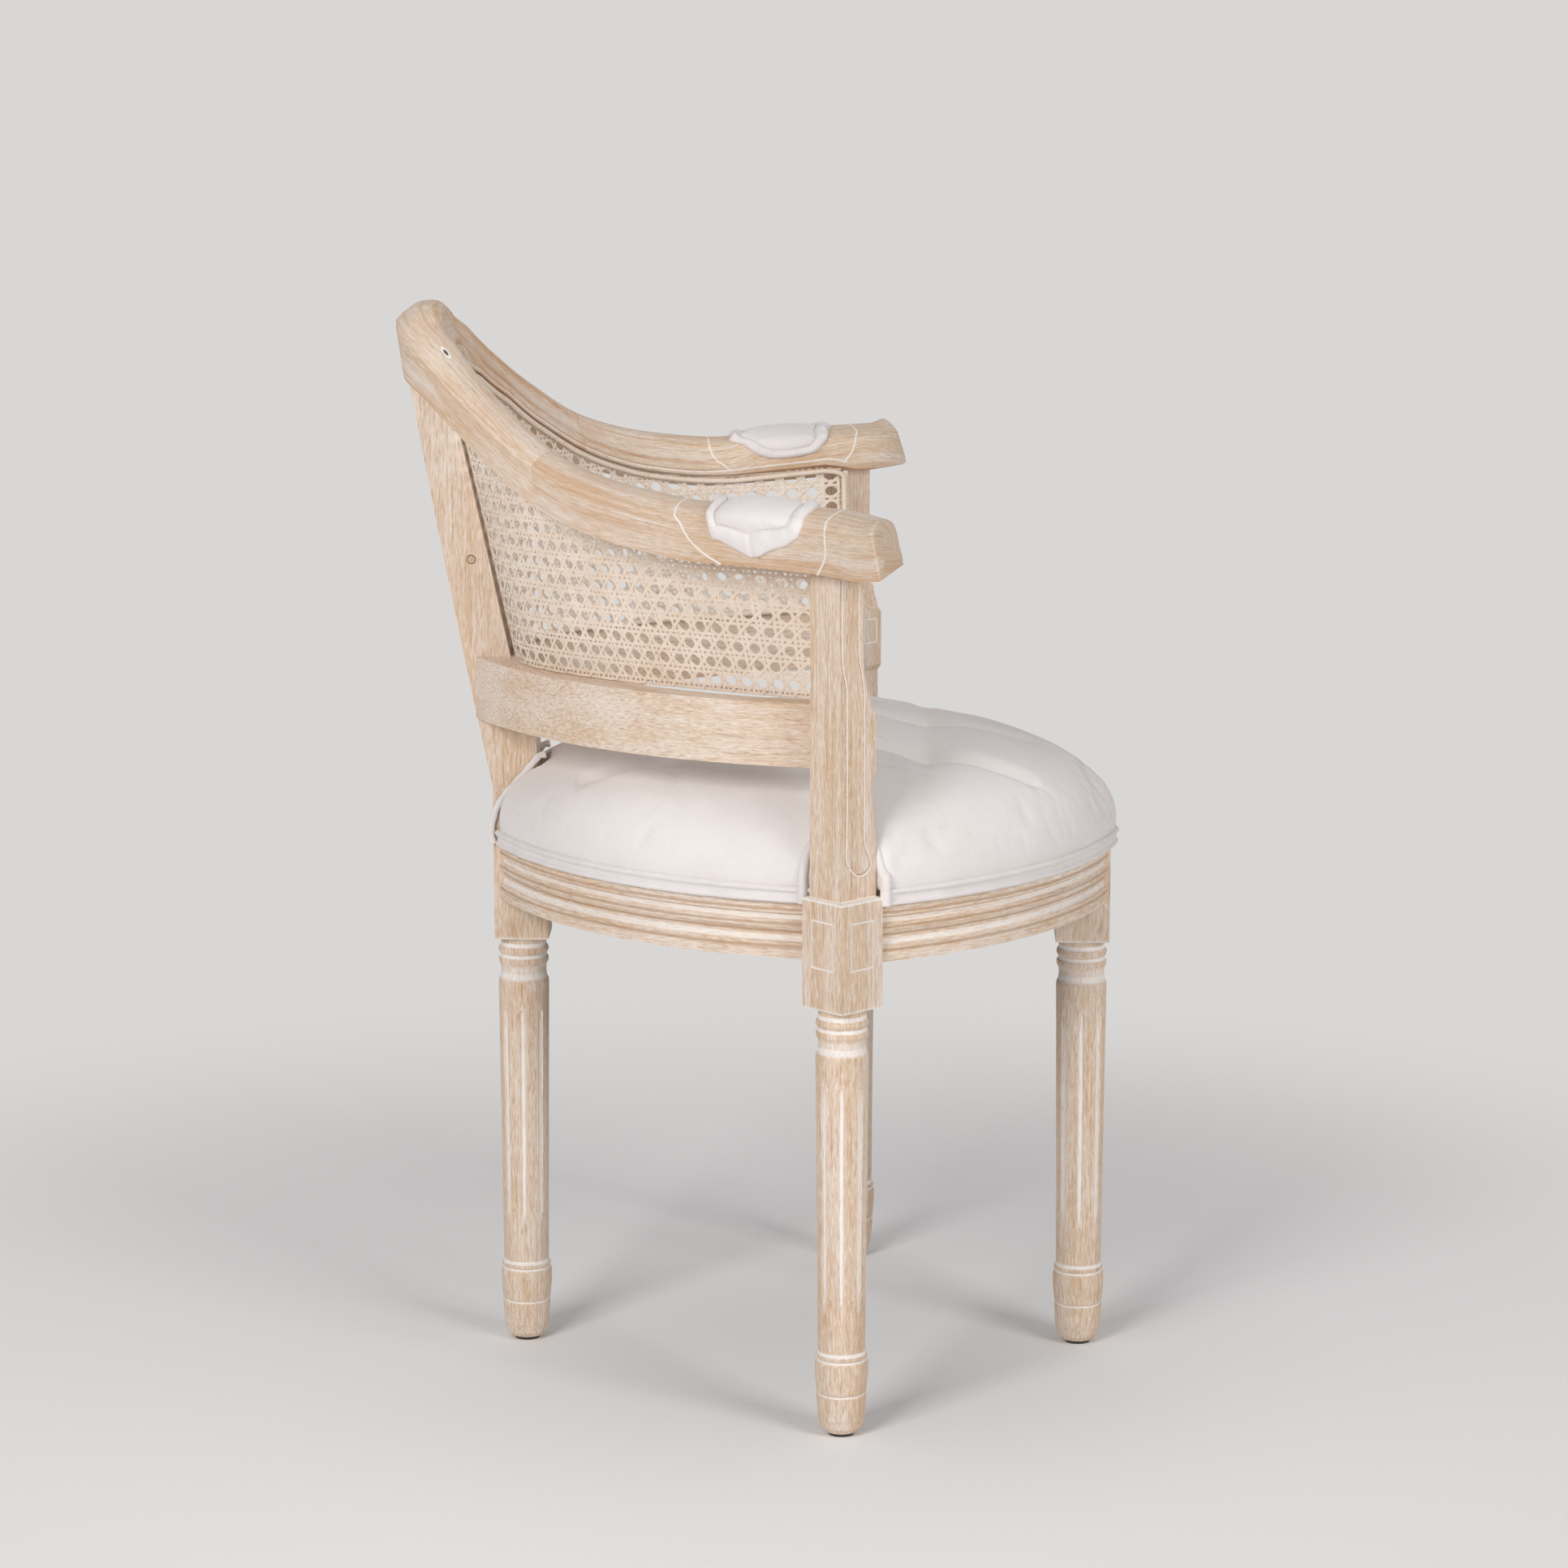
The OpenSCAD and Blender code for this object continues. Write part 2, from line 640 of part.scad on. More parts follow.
module stile_form(grow) {
    half = stile_half_width + grow;
    translate([-half, 0, 0]) rotate([90, 0, 90]) linear_extrude(2 * half) polygon(stile_outline(grow));
}

module plug_form() {
    translate([-stile_half_width - plug_proud, plug_y, plug_z]) rotate([0, 90, 0])
        cylinder(r = plug_radius, h = plug_depth, $fn = 32);
}

module back_stile() {
    color("BurlyWood") difference() {
        stile_form(0);
        plug_form();
        dowel_places(dowel_gap);
    }
}

module stile_plug() {
    color("Peru") plug_form();
}

// crest and arms
function stations(a, b) = [for (k = [0 : round((b - a) / line_step_share)]) a + k * line_step_share];

module crest_rail() {
    ts = stations(0, joint_share);
    n = len(ts);
    color("BurlyWood") difference() {
        loft(concat([for (k = [n - 1 : -1 : 1]) mirrored(ring_at(ts[k]))],
            [for (t = ts) ring_at(t)]));
        dowel_places(dowel_gap);
    }
}

module arm_form() {
    difference() {
        loft(concat([for (t = stations(joint_share, tip_share)) ring_at(t)], [nose_ring()]));
        dowel_places(dowel_gap);
    }
}

module left_arm() {
    color("Wheat") mirror([1, 0, 0]) arm_form();
}

module right_arm() {
    color("Wheat") arm_form();
}

// woven cane, drawn as one thin leaning sheet from post to post
function cane_low(t) =
    let (s = t <= 1 ? mix(cane_shares[0], cane_shares[1], t) : spline(cane_shares, t))
    [s.x * cane_side_x, mix(cane_side_y, cane_back_y, s.y), back_rail_top_z + cane_seat];
function cane_high(t) =
    let (p = line_at(t), n = line_in(t), u = width_at(t) - cane_inset)
    [p.x + n.x * u, p.y + n.y * u, p.z - cane_seat];
function cane_at(t, h, depth) =
    let (p = mix(cane_low(t), cane_high(t), h), n = line_in(t))
    p + depth * [n.x, n.y, 0];
function cane_ring(t) =
    let (d = cane_thickness / 2)
    concat([for (k = [0 : cane_rows]) cane_at(t, k / cane_rows, -d)],
        [for (k = [cane_rows : -1 : 0]) cane_at(t, k / cane_rows, d)]);

module both_post_sides(gap) {
    for (s = [0, 1]) mirror([s, 0, 0]) beyond_back_face(post_back + gap);
}

// edge of an opening: side is -1 or 1, k counts the openings of its row or column
function open_edge(from, to, count, k, side) =
    mix(from, to, (k + (1 + side * cane_open_share) / 2) / count);

module cane_opening(i, j) {
    depth = cane_thickness + overrun;
    t = [for (side = [-1, 1])
        open_edge(cane_open_from_share, cane_open_to_share, cane_open_columns, i, side)];
    h = [for (side = [-1, 1])
        open_edge(cane_rim_share, 1 - cane_rim_share, cane_open_rows, j, side)];
    loft([for (d = [-depth, depth])
        [for (c = [[t[0], h[0]], [t[1], h[0]], [t[1], h[1]], [t[0], h[1]]]) cane_at(c.x, c.y, d)]]);
}

module cane_openings() {
    for (s = [0, 1]) mirror([s, 0, 0])
        for (i = [0 : cane_open_columns - 1]) for (j = [0 : cane_open_rows - 1]) cane_opening(i, j);
}

module cane_panel() {
    ts = stations(0, post_share);
    n = len(ts);
    color("Khaki") difference() {
        loft(concat([for (k = [n - 1 : -1 : 1]) mirrored(cane_ring(ts[k]))],
            [for (t = ts) cane_ring(t)]));
        both_post_sides(cane_clearance);
        cane_openings();
    }
}

// round reed that trims the cane inside the back, all along its edge
reed_depth = cane_thickness / 2 + reed_radius + cane_seat;
reed_stop_share = post_share - reed_end_share;
function reed_low(t) = cane_at(t, reed_lift / (cane_high(t).z - cane_low(t).z), reed_depth);
function reed_high(t) = cane_at(t, 1 - reed_lift / (cane_high(t).z - cane_low(t).z), reed_depth);
function reed_path() =
    let (ts = stations(0, reed_stop_share - reed_corner_share), n = len(ts))
    concat([for (t = ts) reed_low(t)],
        [for (h = reed_rise_shares) cane_at(reed_stop_share, h, reed_depth)],
        [for (k = [n - 1 : -1 : 0]) reed_high(ts[k])]);
function reed_ring(path, i) =
    let (n = len(path), a = path[max(i - 1, 0)], b = path[min(i + 1, n - 1)],
         w = (i == 0 || i == n - 1) ? [i == 0 ? 1 : -1, 0, 0] : (b - a) / norm(b - a),
         c = cross(w, [path[i].x, path[i].y, 0] / norm([path[i].x, path[i].y])),
         u = c / norm(c), v = cross(w, u))
    [for (k = [0 : reed_sides - 1]) path[i] + reed_radius
        * (cos(k * 360 / reed_sides) * u + sin(k * 360 / reed_sides) * v)];

module cane_spline() {
    path = reed_path();
    color("Ivory") for (s = [0, 1]) mirror([s, 0, 0])
        loft([for (i = [0 : len(path) - 1]) reed_ring(path, i)]);
}

// openings in board and cushion for the posts and the back leg
module post_notch(gap, behind = post_back) {
    for (s = [0, 1]) mirror([s, 0, 0])
        translate([side_leg_x, -side_leg_front]) rotate([0, 0, 45])
            translate([-half_block - gap, behind + gap - reach]) square(reach);
}

module block_notch(gap) {
    post_notch(gap, half_block);
}

module back_notch(gap) {
    translate([-half_block - gap, back_leg_back - half_block - gap])
        square([leg_block + 2 * gap, reach]);
}

module behind_stile(gap) {
    translate([-half_block - gap, (stile_foot_inner_y + stile_foot_back_y) / 2])
        square([leg_block + 2 * gap, reach]);
}

module seat_board() {
    color("Sienna") translate([0, 0, rail_top_z]) linear_extrude(board_thickness) difference() {
        seat_plan(-rabbet_depth);
        post_notch(soft_gap);
        back_notch(soft_gap);
    }
}

// crowned and tufted seat, open below over the board
function tuft_drop(p) =
    tuft_depth * max([for (i = tuft_rows) for (j = tuft_rows)
        let (d = p - seat_middle - tuft_pitch * [i, j])
        exp(-(d * d) / (2 * tuft_spread * tuft_spread))]);
function cushion_point(a, s) =
    let (p = seat_edge(a, s.x, hem_proud),
         k = clamp((s.y - tuft_from_share) / (tuft_full_share - tuft_from_share)))
    [p.x, p.y, hem_z + soft_gap + s.y * cushion_rise - k * tuft_drop(p)];
function plain_ring(grow, z) = [for (a = turn_angles) up(seat_edge(a, 1, grow), z)];
turn_angles = [for (k = [0 : cushion_turns - 1]) k * 360 / cushion_turns];

module cushion_body() {
    inner = soft_gap - rabbet_depth;
    floor_z = board_top_z + soft_gap;
    rings = concat([plain_ring(inner, floor_z), plain_ring(inner, hem_z + soft_gap)],
        [for (s = cushion_shares) [for (a = turn_angles) cushion_point(a, s)]]);
    n = cushion_turns;
    m = len(rings);
    points = concat([for (r = rings) for (p = r) p],
        [up(seat_middle, floor_z), cushion_point(0, [0, 1])]);
    sides = [for (i = [0 : m - 2]) for (j = [0 : n - 1])
        let (a = i * n + j, b = i * n + (j + 1) % n, c = a + n, d = b + n)
        for (f = [[a, c, b], [b, c, d]]) f];
    caps = [for (j = [0 : n - 1]) let (k = (j + 1) % n)
        for (f = [[m * n, j, k], [m * n + 1, (m - 1) * n + k, (m - 1) * n + j]]) f];
    polyhedron(points, concat(sides, caps), convexity = 10);
}

module seat_cushion() {
    gap = 2 * soft_gap;
    color("WhiteSmoke") difference() {
        cushion_body();
        translate([0, 0, hem_z - overrun]) {
            linear_extrude(reach) post_notch(gap);
            linear_extrude(rail_top_z - hem_z + overrun + gap) block_notch(gap);
            linear_extrude(stile_foot_z - hem_z + overrun + gap) back_notch(gap);
            linear_extrude(reach) behind_stile(gap);
        }
        stile_form(gap);
    }
}

// arm pads: a saddle over the crown of the arm, drawn down in the middle
function section_point(t, q, out) =
    let (ss = section_shares(t), i = min(floor(q), len(ss) - 2), s = mix(ss[i], ss[i + 1], q - i),
         p = on_section(t, s), c = on_section(t, section_middle_shares), d = (p - c) / norm(p - c))
    p + d * out;
function pad_rise(share) = mix(pad_edge_share, 1, pow(sin(180 * share), pad_round_share));
function pad_ring(row) =
    let (t = mix(pad_from_share, pad_to_share, row.x), full = pad_thickness * pad_rise(row.x))
    concat([for (j = [0 : pad_cross]) let (v = j / pad_cross)
            section_point(t, mix(row.y, row.z, v), pad_gap + full * pad_rise(v))],
        [for (j = [pad_cross : -1 : 0])
            section_point(t, mix(row.y, row.z, j / pad_cross), pad_gap)]);

module pad_form() {
    loft([for (row = pad_outline_shares) pad_ring(row)]);
}

module left_arm_pad() {
    color("White") mirror([1, 0, 0]) pad_form();
}

module right_arm_pad() {
    color("White") pad_form();
}

// thin cloth under the seat
module dust_cover() {
    color("DimGray") translate([0, 0, rail_bottom_z - cover_thickness])
        linear_extrude(cover_thickness) difference() {
        seat_plan(-cover_inset);
        block_notch(soft_gap);
        back_notch(soft_gap);
        translate([-half_block - soft_gap, -front_leg_front + half_block + soft_gap - reach])
            square([leg_block + 2 * soft_gap, reach]);
    }
}

module glides() {
    color("DimGray") for (p = [[0, -front_leg_front], [0, back_leg_back],
        [side_leg_x, -side_leg_front], [-side_leg_x, -side_leg_front]])
        translate(p) cylinder(r = glide_radius, h = glide_height, $fn = 48);
}

front_leg();
back_leg();
left_leg_post();
right_leg_post();
back_stile();
front_left_rail();
front_right_rail();
back_left_rail();
back_right_rail();
corner_braces();
brace_screws();
left_back_rail();
right_back_rail();
crest_rail();
left_arm();
right_arm();
dowels();
stile_plug();
cane_panel();
cane_spline();
seat_board();
seat_cushion();
left_arm_pad();
right_arm_pad();
dust_cover();
glides();
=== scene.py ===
# Looks of the corner chair: limed wood, open cane, tufted linen seat and arm pads.
import math

import bpy
import numpy as np
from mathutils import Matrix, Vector
from mathutils.bvhtree import BVHTree


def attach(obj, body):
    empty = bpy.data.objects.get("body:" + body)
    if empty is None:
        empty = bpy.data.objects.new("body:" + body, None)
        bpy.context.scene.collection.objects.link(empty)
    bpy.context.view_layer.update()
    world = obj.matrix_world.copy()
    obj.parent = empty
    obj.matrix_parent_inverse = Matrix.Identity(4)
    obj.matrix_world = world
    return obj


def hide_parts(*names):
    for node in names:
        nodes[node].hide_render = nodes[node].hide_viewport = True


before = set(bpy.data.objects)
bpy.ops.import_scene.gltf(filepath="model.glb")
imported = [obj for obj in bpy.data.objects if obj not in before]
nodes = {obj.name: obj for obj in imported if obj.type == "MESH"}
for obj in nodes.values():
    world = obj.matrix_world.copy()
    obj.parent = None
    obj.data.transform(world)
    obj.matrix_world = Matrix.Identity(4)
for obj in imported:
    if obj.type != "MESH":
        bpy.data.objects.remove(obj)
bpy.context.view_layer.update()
MM = 0.001

# sizes of the frame, mm
SIDE_X, SIDE_Y, FRONT_Y, BACK_Y = 240.0, -69.0, -253.0, 185.0
HALF_BLOCK = 21.0
HEM_Z, LOW_RAIL_TOP, ARM_Z, CREST_Z = 404.0, 553.0, 656.0, 776.0
ARM_WIDTH, ARM_HEIGHT = 50.0, 43.0
ARM_REACH, ARM_POST_Y, CREST_BACK_Y = 262.0, -45.0, 271.0
POST_OUTER, POST_FACE, POST_BACK = 17.0, 14.0, 17.0
SEAT_RADIUS = 334.0
SEAT_MIDDLE = np.array([0.0, -35.0])
FRONT_CENTRE, BACK_CENTRE = (63.8, 51.4), (99.3, -110.2)  # of the arcs of the seat's plan
SEAT_CENTRES = [(side * x, y) for x, y in (FRONT_CENTRE, BACK_CENTRE) for side in (-1, 1)]
JOINT_AT, POST_AT, TIP_AT = 6.0, 11.0, 13.0  # stations of the rail
SQRT_HALF = math.sqrt(0.5)  # cosine and sine of the posts' 45 degrees
SIDES = ((-1, "left"), (1, "right"))

# the rail of crest and arms by station, 0 in the middle of the back: line, sizes, section
LINE = [[0, 1, 1], [0.084, 1, 1], [0.20, 0.985, 0.955], [0.30, 0.93, 0.86],
        [0.385, 0.85, 0.67], [0.46, 0.76, 0.46], [0.54, 0.655, 0.255], [0.62, 0.54, 0.125],
        [0.70, 0.41, 0.045], [0.78, 0.285, 0], [0.88, 0.145, 0], [1, 0, 0],
        [1.13, -0.10, 0], [1.235, -0.165, 0.03]]
WIDTHS = [[0, 0.84], [6, 0.88], [9, 0.94], [11, 1.10], [13, 1.10]]
HEIGHTS = [[0, 1.14], [1, 1.14], [2.5, 1.03], [4, 0.93], [6, 0.93], [9, 0.98], [11, 1.04], [13, 0.94]]
MOULDED = [[0, 0], [-0.04, 0.25], [-0.08, 0.50], [-0.11, 0.70], [-0.12, 0.76],
           [-0.09, 0.81], [-0.03, 0.84], [0.03, 0.885], [0.14, 0.95], [0.28, 0.99], [0.42, 1],
           [0.55, 0.985], [0.655, 0.93], [0.725, 0.85], [0.70, 0.77], [0.765, 0.64], [0.83, 0.49],
           [0.90, 0.385], [0.875, 0.31], [0.935, 0.285], [0.985, 0.225], [0.985, 0.135], [0.955, 0.09],
           [0.975, 0.05], [0.97, 0]]
PLAIN = [[0, 0], [-0.04, 0.25], [-0.08, 0.50], [-0.10, 0.66], [-0.10, 0.74],
         [-0.085, 0.80], [-0.05, 0.85], [0, 0.89], [0.12, 0.95], [0.28, 0.99], [0.42, 1],
         [0.55, 0.99], [0.68, 0.96], [0.80, 0.91], [0.88, 0.85], [0.935, 0.77], [0.965, 0.68],
         [0.98, 0.60], [0.99, 0.50], [0.995, 0.42], [1, 0.34], [1, 0.26], [1, 0.16],
         [0.985, 0.08], [0.97, 0]]
INNER_RISE = [[0, 0], [1, 0], [2, 2.5], [3, 5.5], [4, 9.3], [5, 9.8], [6, 11.5], [7, 11.8], [8, 12.7], [9, 15],
              [10, 17.3], [10.45, 18.2], [10.7, 15.5], [10.9, 12.4], [12, 11], [13, 6]]
MIDDLE = (0.45, 0.5)
INNER_FROM, SECTION_END = 10, 24  # section points: the first of the inner face, and the last
RUN_OUT_AT, RUN_OUT = 8.4, 0.8  # stations where the moulding dies away
TIP_SLANT, TIP_TOE, TIP_BACK = 11.0, 8.0, 8.0  # how the arms' ends are cut, mm
TIP_IN = (-0.985, -0.17)  # which way the section faces at the tip
CANE_SHARES = [[0, 1], [0.085, 1], [0.20, 0.985], [0.315, 0.94], [0.425, 0.86], [0.53, 0.755],
               [0.63, 0.63], [0.715, 0.505], [0.79, 0.38], [0.865, 0.26], [0.935, 0.13], [1, 0]]
PLUG_Y, PLUG_Z = 221.0, 629.0
CANE_SIDE_X, CANE_SIDE_Y, CANE_BACK_Y, CANE_INSET = 215.0, -70.0, 187.0, 7.0


# curves
def mix(a, b, t):
    return np.asarray(a, float) + (np.asarray(b, float) - np.asarray(a, float)) * t


def clamp(t):
    return max(0.0, min(1.0, t))


def smooth(t):
    t = clamp(t)
    return t * t * (3 - 2 * t)


def spline(p, t):
    p = np.asarray(p, float)
    i = int(min(math.floor(t), len(p) - 2))
    f = t - i
    a, b, c, d = p[max(i - 1, 0)], p[i], p[i + 1], p[min(i + 2, len(p) - 1)]
    return 0.5 * (2 * b + (c - a) * f + (2 * a - 5 * b + 4 * c - d) * f * f
                  + (3 * b - a - 3 * c + d) * f ** 3)


def table(t, rows):
    a = np.array(rows, float)
    return float(np.interp(t, a[:, 0], a[:, 1]))


def line_at(t):
    s = mix(LINE[0], LINE[1], t) if t <= 1 else spline(LINE, t)
    return np.array([s[0] * ARM_REACH, ARM_POST_Y + (CREST_BACK_Y - ARM_POST_Y) * s[1],
                     ARM_Z + max(0.0, s[2]) * (CREST_Z - ARM_Z)])


def line_way(t):
    if t <= 1:
        return np.array([1.0, 0.0])
    e = 1 / 12
    d = (line_at(min(t + e, TIP_AT)) - line_at(t - e))[:2]
    return d / np.linalg.norm(d)


def line_in(t):
    w = line_way(t)
    m = mix([w[1], -w[0]], TIP_IN, clamp((t - POST_AT) / (TIP_AT - POST_AT)))
    return m / np.linalg.norm(m)


def width_at(t):
    return ARM_WIDTH * table(t, WIDTHS)


def height_at(t):
    return ARM_HEIGHT * table(t, HEIGHTS)


def on_section(t, s):
    p, n, w = line_at(t), line_in(t), line_way(t)
    u = s[0] * width_at(t)
    slant = TIP_SLANT * (0.5 - s[1]) + TIP_TOE * clamp(s[0]) * clamp(1 - s[1]) - TIP_BACK * clamp(1 - s[0])
    r = w * clamp(t - TIP_AT + 1) * slant
    return np.array([p[0] + n[0] * u + r[0], p[1] + n[1] * u + r[1], p[2] + s[1] * height_at(t)])


def inner_rise(t):
    """How far the rail's inner lower edge lies above its outer one, in mm."""
    return table(t, INNER_RISE)


def shares_at(t):
    rows = mix(MOULDED, PLAIN, clamp((t - RUN_OUT_AT) / RUN_OUT))
    keep = 1 - inner_rise(t) / height_at(t)
    inner = np.clip((np.arange(len(rows)) - INNER_FROM) / 4.0, 0, 1)
    rows[:, 1] = 1 - (1 - rows[:, 1]) * (1 - inner * (1 - keep))
    return rows


def section_point(t, q):
    ss = shares_at(t)
    i = int(min(math.floor(q), len(ss) - 2))
    return on_section(t, mix(ss[i], ss[i + 1], q - i))


def section_normal(t, q):
    e = 0.6
    a = section_point(t, min(q + e, SECTION_END)) - section_point(t, max(q - e, 0))
    b = section_point(min(t + 0.1, TIP_AT), q) - section_point(t - 0.1, q)
    n = np.cross(b, a)
    n /= np.linalg.norm(n)
    return n if n @ (section_point(t, q) - on_section(t, MIDDLE)) > 0 else -n


def to_post(x, y):
    """Plan coordinates in the 45 degree frame of the post on the +X side."""
    return ((x - SIDE_X) + (y - SIDE_Y)) * SQRT_HALF, (-(x - SIDE_X) + (y - SIDE_Y)) * SQRT_HALF


def from_post(a, b):
    return SIDE_X + (a - b) * SQRT_HALF, SIDE_Y + (a + b) * SQRT_HALF


def stretches(ok):
    """First and last index of each run of True."""
    edges = np.flatnonzero(np.diff(np.concatenate([[0], np.asarray(ok, int), [0]])))
    return [(int(i), int(j) - 1) for i, j in zip(edges[::2], edges[1::2])]


def seat_radius(a, grow):
    """Radius of the seat's outline at angle a, grown by some mm."""
    d = np.array([math.cos(a), math.sin(a)])
    best = 1e9
    for c in SEAT_CENTRES:
        c = np.array(c) - SEAT_MIDDLE
        k = c @ d
        best = min(best, k + math.sqrt((SEAT_RADIUS + grow) ** 2 - c @ c + k * k))
    return best


def seat_edge(a, share, grow):
    return SEAT_MIDDLE + share * seat_radius(a, grow) * np.array([math.cos(a), math.sin(a)])


# mesh helpers
def make(name, points, faces, material, smooth_angle=None, uv=None, side=1):
    """A mesh object from points in mm. side -1 mirrors it across the middle plane."""
    pts = np.asarray(points, float) * MM
    fs = [tuple(f) for f in faces]
    if side < 0:
        pts = pts * [-1, 1, 1]
        fs = [f[::-1] for f in fs]
    me = bpy.data.meshes.new(name)
    me.from_pydata([tuple(p) for p in pts], [], fs)
    if uv is not None:
        layer = me.uv_layers.new(name="along")
        flat = []
        for f in uv:
            flat += list(f[::-1] if side < 0 else f)
        layer.data.foreach_set("uv", np.asarray(flat, float).ravel())
    me.validate()
    me.shade_smooth()
    if smooth_angle is not None:
        me.set_sharp_from_angle(angle=math.radians(smooth_angle))
    me.materials.append(material)
    ob = bpy.data.objects.new(name, me)
    bpy.context.scene.collection.objects.link(ob)
    return ob


def loft(rings, caps=True):
    """Faces over equal closed rings, with fan caps; a ring's points run clockwise seen along the way."""
    m, n = len(rings), len(rings[0])
    pts = [p for r in rings for p in r]
    faces, grid = [], []
    for i in range(m - 1):
        for j in range(n):
            k = (j + 1) % n
            faces.append((i * n + j, i * n + k, (i + 1) * n + k, (i + 1) * n + j))
            grid.append(((i, j), (i, j + 1), (i + 1, j + 1), (i + 1, j)))
    for i, flip in ((0, False), (m - 1, True)) if caps else ():
        c = len(pts)
        pts.append(np.mean(rings[i], axis=0))
        for j in range(n):
            a, b = (j, j + 1) if flip else (j + 1, j)
            faces.append((c, i * n + a % n, i * n + b % n))
            grid.append(((i, -1), (i, a), (i, b)))
    return pts, faces, grid


def lofted(name, rings, material, smooth_angle=60, side=1, caps=True):
    pts, faces, _ = loft(rings, caps)
    return make(name, pts, faces, material, smooth_angle, side=side)


def tube(path, radius, sides=10, flat=1.0, up=None, closed=False):
    """Rings of a tube along points in mm. flat narrows it along the second axis."""
    path = [np.asarray(p, float) for p in path]
    rings = []
    n = len(path)
    for i, p in enumerate(path):
        a = path[(i - 1) % n] if closed else path[max(i - 1, 0)]
        b = path[(i + 1) % n] if closed else path[min(i + 1, n - 1)]
        w = (b - a) / np.linalg.norm(b - a)
        u = np.asarray(up[i] if up is not None else (0, 0, 1), float)
        u = u - w * (u @ w)
        u /= np.linalg.norm(u)
        v = np.cross(w, u)
        r = radius[i] if hasattr(radius, "__len__") else radius
        rings.append([p + r * (math.cos(k) * v - math.sin(k) * u * flat)
                      for k in np.linspace(0, 2 * math.pi, sides, endpoint=False)])
    if closed:
        rings.append(rings[0])
    return rings


def join(name, parts, material, smooth_angle=None):
    pts, faces = [], []
    for p, f in parts:
        o = len(pts)
        pts += list(p)
        faces += [tuple(i + o for i in q) for q in f]
    return make(name, pts, faces, material, smooth_angle)


def settle(ob, *replaced, slot=None):
    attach(ob, "root")
    if replaced:
        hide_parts(*replaced)
    return ob


# materials
def hexrgb(r, g, b):
    """The linear colour of 0 to 255 values."""
    def lin(c):
        c /= 255
        return c / 12.92 if c <= 0.04045 else ((c + 0.055) / 1.055) ** 2.4
    return (lin(r), lin(g), lin(b), 1.0)


class Nodes:
    """Short names for the shader nodes used here."""

    def __init__(self, name):
        self.mat = bpy.data.materials.new(name)
        self.mat.use_nodes = True
        self.t = self.mat.node_tree
        self.t.nodes.clear()
        self.out = self.t.nodes.new("ShaderNodeOutputMaterial")
        self.bsdf = self.t.nodes.new("ShaderNodeBsdfPrincipled")
        self.t.links.new(self.bsdf.outputs[0], self.out.inputs[0])

    def add(self, kind, **values):
        n = self.t.nodes.new("ShaderNode" + kind)
        for k, v in values.items():
            setattr(n, k, v)
        return n

    def put(self, socket, value):
        if isinstance(value, bpy.types.NodeSocket):
            self.t.links.new(value, socket)
        elif value is not None:
            socket.default_value = value

    def place(self):
        return self.add("TexCoord").outputs["Object"]

    def parts(self, vector):
        n = self.add("SeparateXYZ")
        self.put(n.inputs[0], vector)
        return n.outputs

    def math(self, op, a, b=None, limit=False):
        n = self.add("Math", operation=op, use_clamp=limit)
        for s, v in zip(n.inputs, (a, b)):
            self.put(s, v)
        return n.outputs[0]

    def mul(self, a, b, limit=False):
        return self.math("MULTIPLY", a, b, limit)

    def plus(self, a, b):
        return self.math("ADD", a, b)

    def minus(self, a, b):
        return self.math("SUBTRACT", a, b)

    def most(self, a, b):
        return self.math("MAXIMUM", a, b)

    def length(self, a, b):
        return self.math("POWER", self.plus(self.mul(a, a), self.mul(b, b)), 0.5)

    def vec(self, x, y, z):
        n = self.add("CombineXYZ")
        for s, v in zip(n.inputs, (x, y, z)):
            self.put(s, v)
        return n.outputs[0]

    def noise(self, vector, scale=1.0, detail=3.0, rough=0.55):
        n = self.add("TexNoise")
        self.put(n.inputs["Vector"], vector)
        for name, value in zip(("Scale", "Detail", "Roughness"), (scale, detail, rough)):
            n.inputs[name].default_value = value
        return n.outputs["Fac"]

    def span(self, v, a, b, lo=0.0, hi=1.0):
        n = self.add("MapRange")
        n.interpolation_type = "SMOOTHSTEP"
        self.put(n.inputs["Value"], v)
        for k, x in zip(("From Min", "From Max", "To Min", "To Max"), (a, b, lo, hi)):
            n.inputs[k].default_value = x
        return n.outputs[0]

    def blend(self, f, a, b):
        n = self.add("Mix", data_type="RGBA")
        for i, value in ((0, f), (6, a), (7, b)):
            self.put(n.inputs[i], value)
        return n.outputs[2]

    def tone(self, base, v, lo, hi, much, colour):
        """Lays colour over base where v passes from lo to hi."""
        return self.blend(self.mul(self.span(v, lo, hi), much), base, colour)

    def bump(self, height, strength, distance, before=None):
        n = self.add("Bump")
        names = "Strength", "Distance", "Height", "Normal"
        for name, value in zip(names, (strength, distance, height, before)):
            self.put(n.inputs[name], value)
        return n.outputs[0]

    def done(self, colour, rough, specular=None, normal=None):
        names = "Base Color", "Roughness", "Specular IOR Level", "Normal"
        for name, value in zip(names, (colour, rough, specular, normal)):
            self.put(self.bsdf.inputs[name], value)
        return self.mat


PALE = hexrgb(226, 205, 186)
TAN = hexrgb(217, 190, 162)
HONEY = hexrgb(214, 174, 132)
DARK = hexrgb(182, 146, 116)
LIME = hexrgb(236, 226, 217)
WHITE_WAX = hexrgb(243, 237, 231)
BROWN_LINE = hexrgb(168, 128, 92)
STAIN = hexrgb(203, 158, 116)
WORN = hexrgb(205, 160, 116)
NAIL_HOLE = hexrgb(104, 84, 70)
# dark brown mixed in as painted shade
SHADED = hexrgb(150, 116, 84)


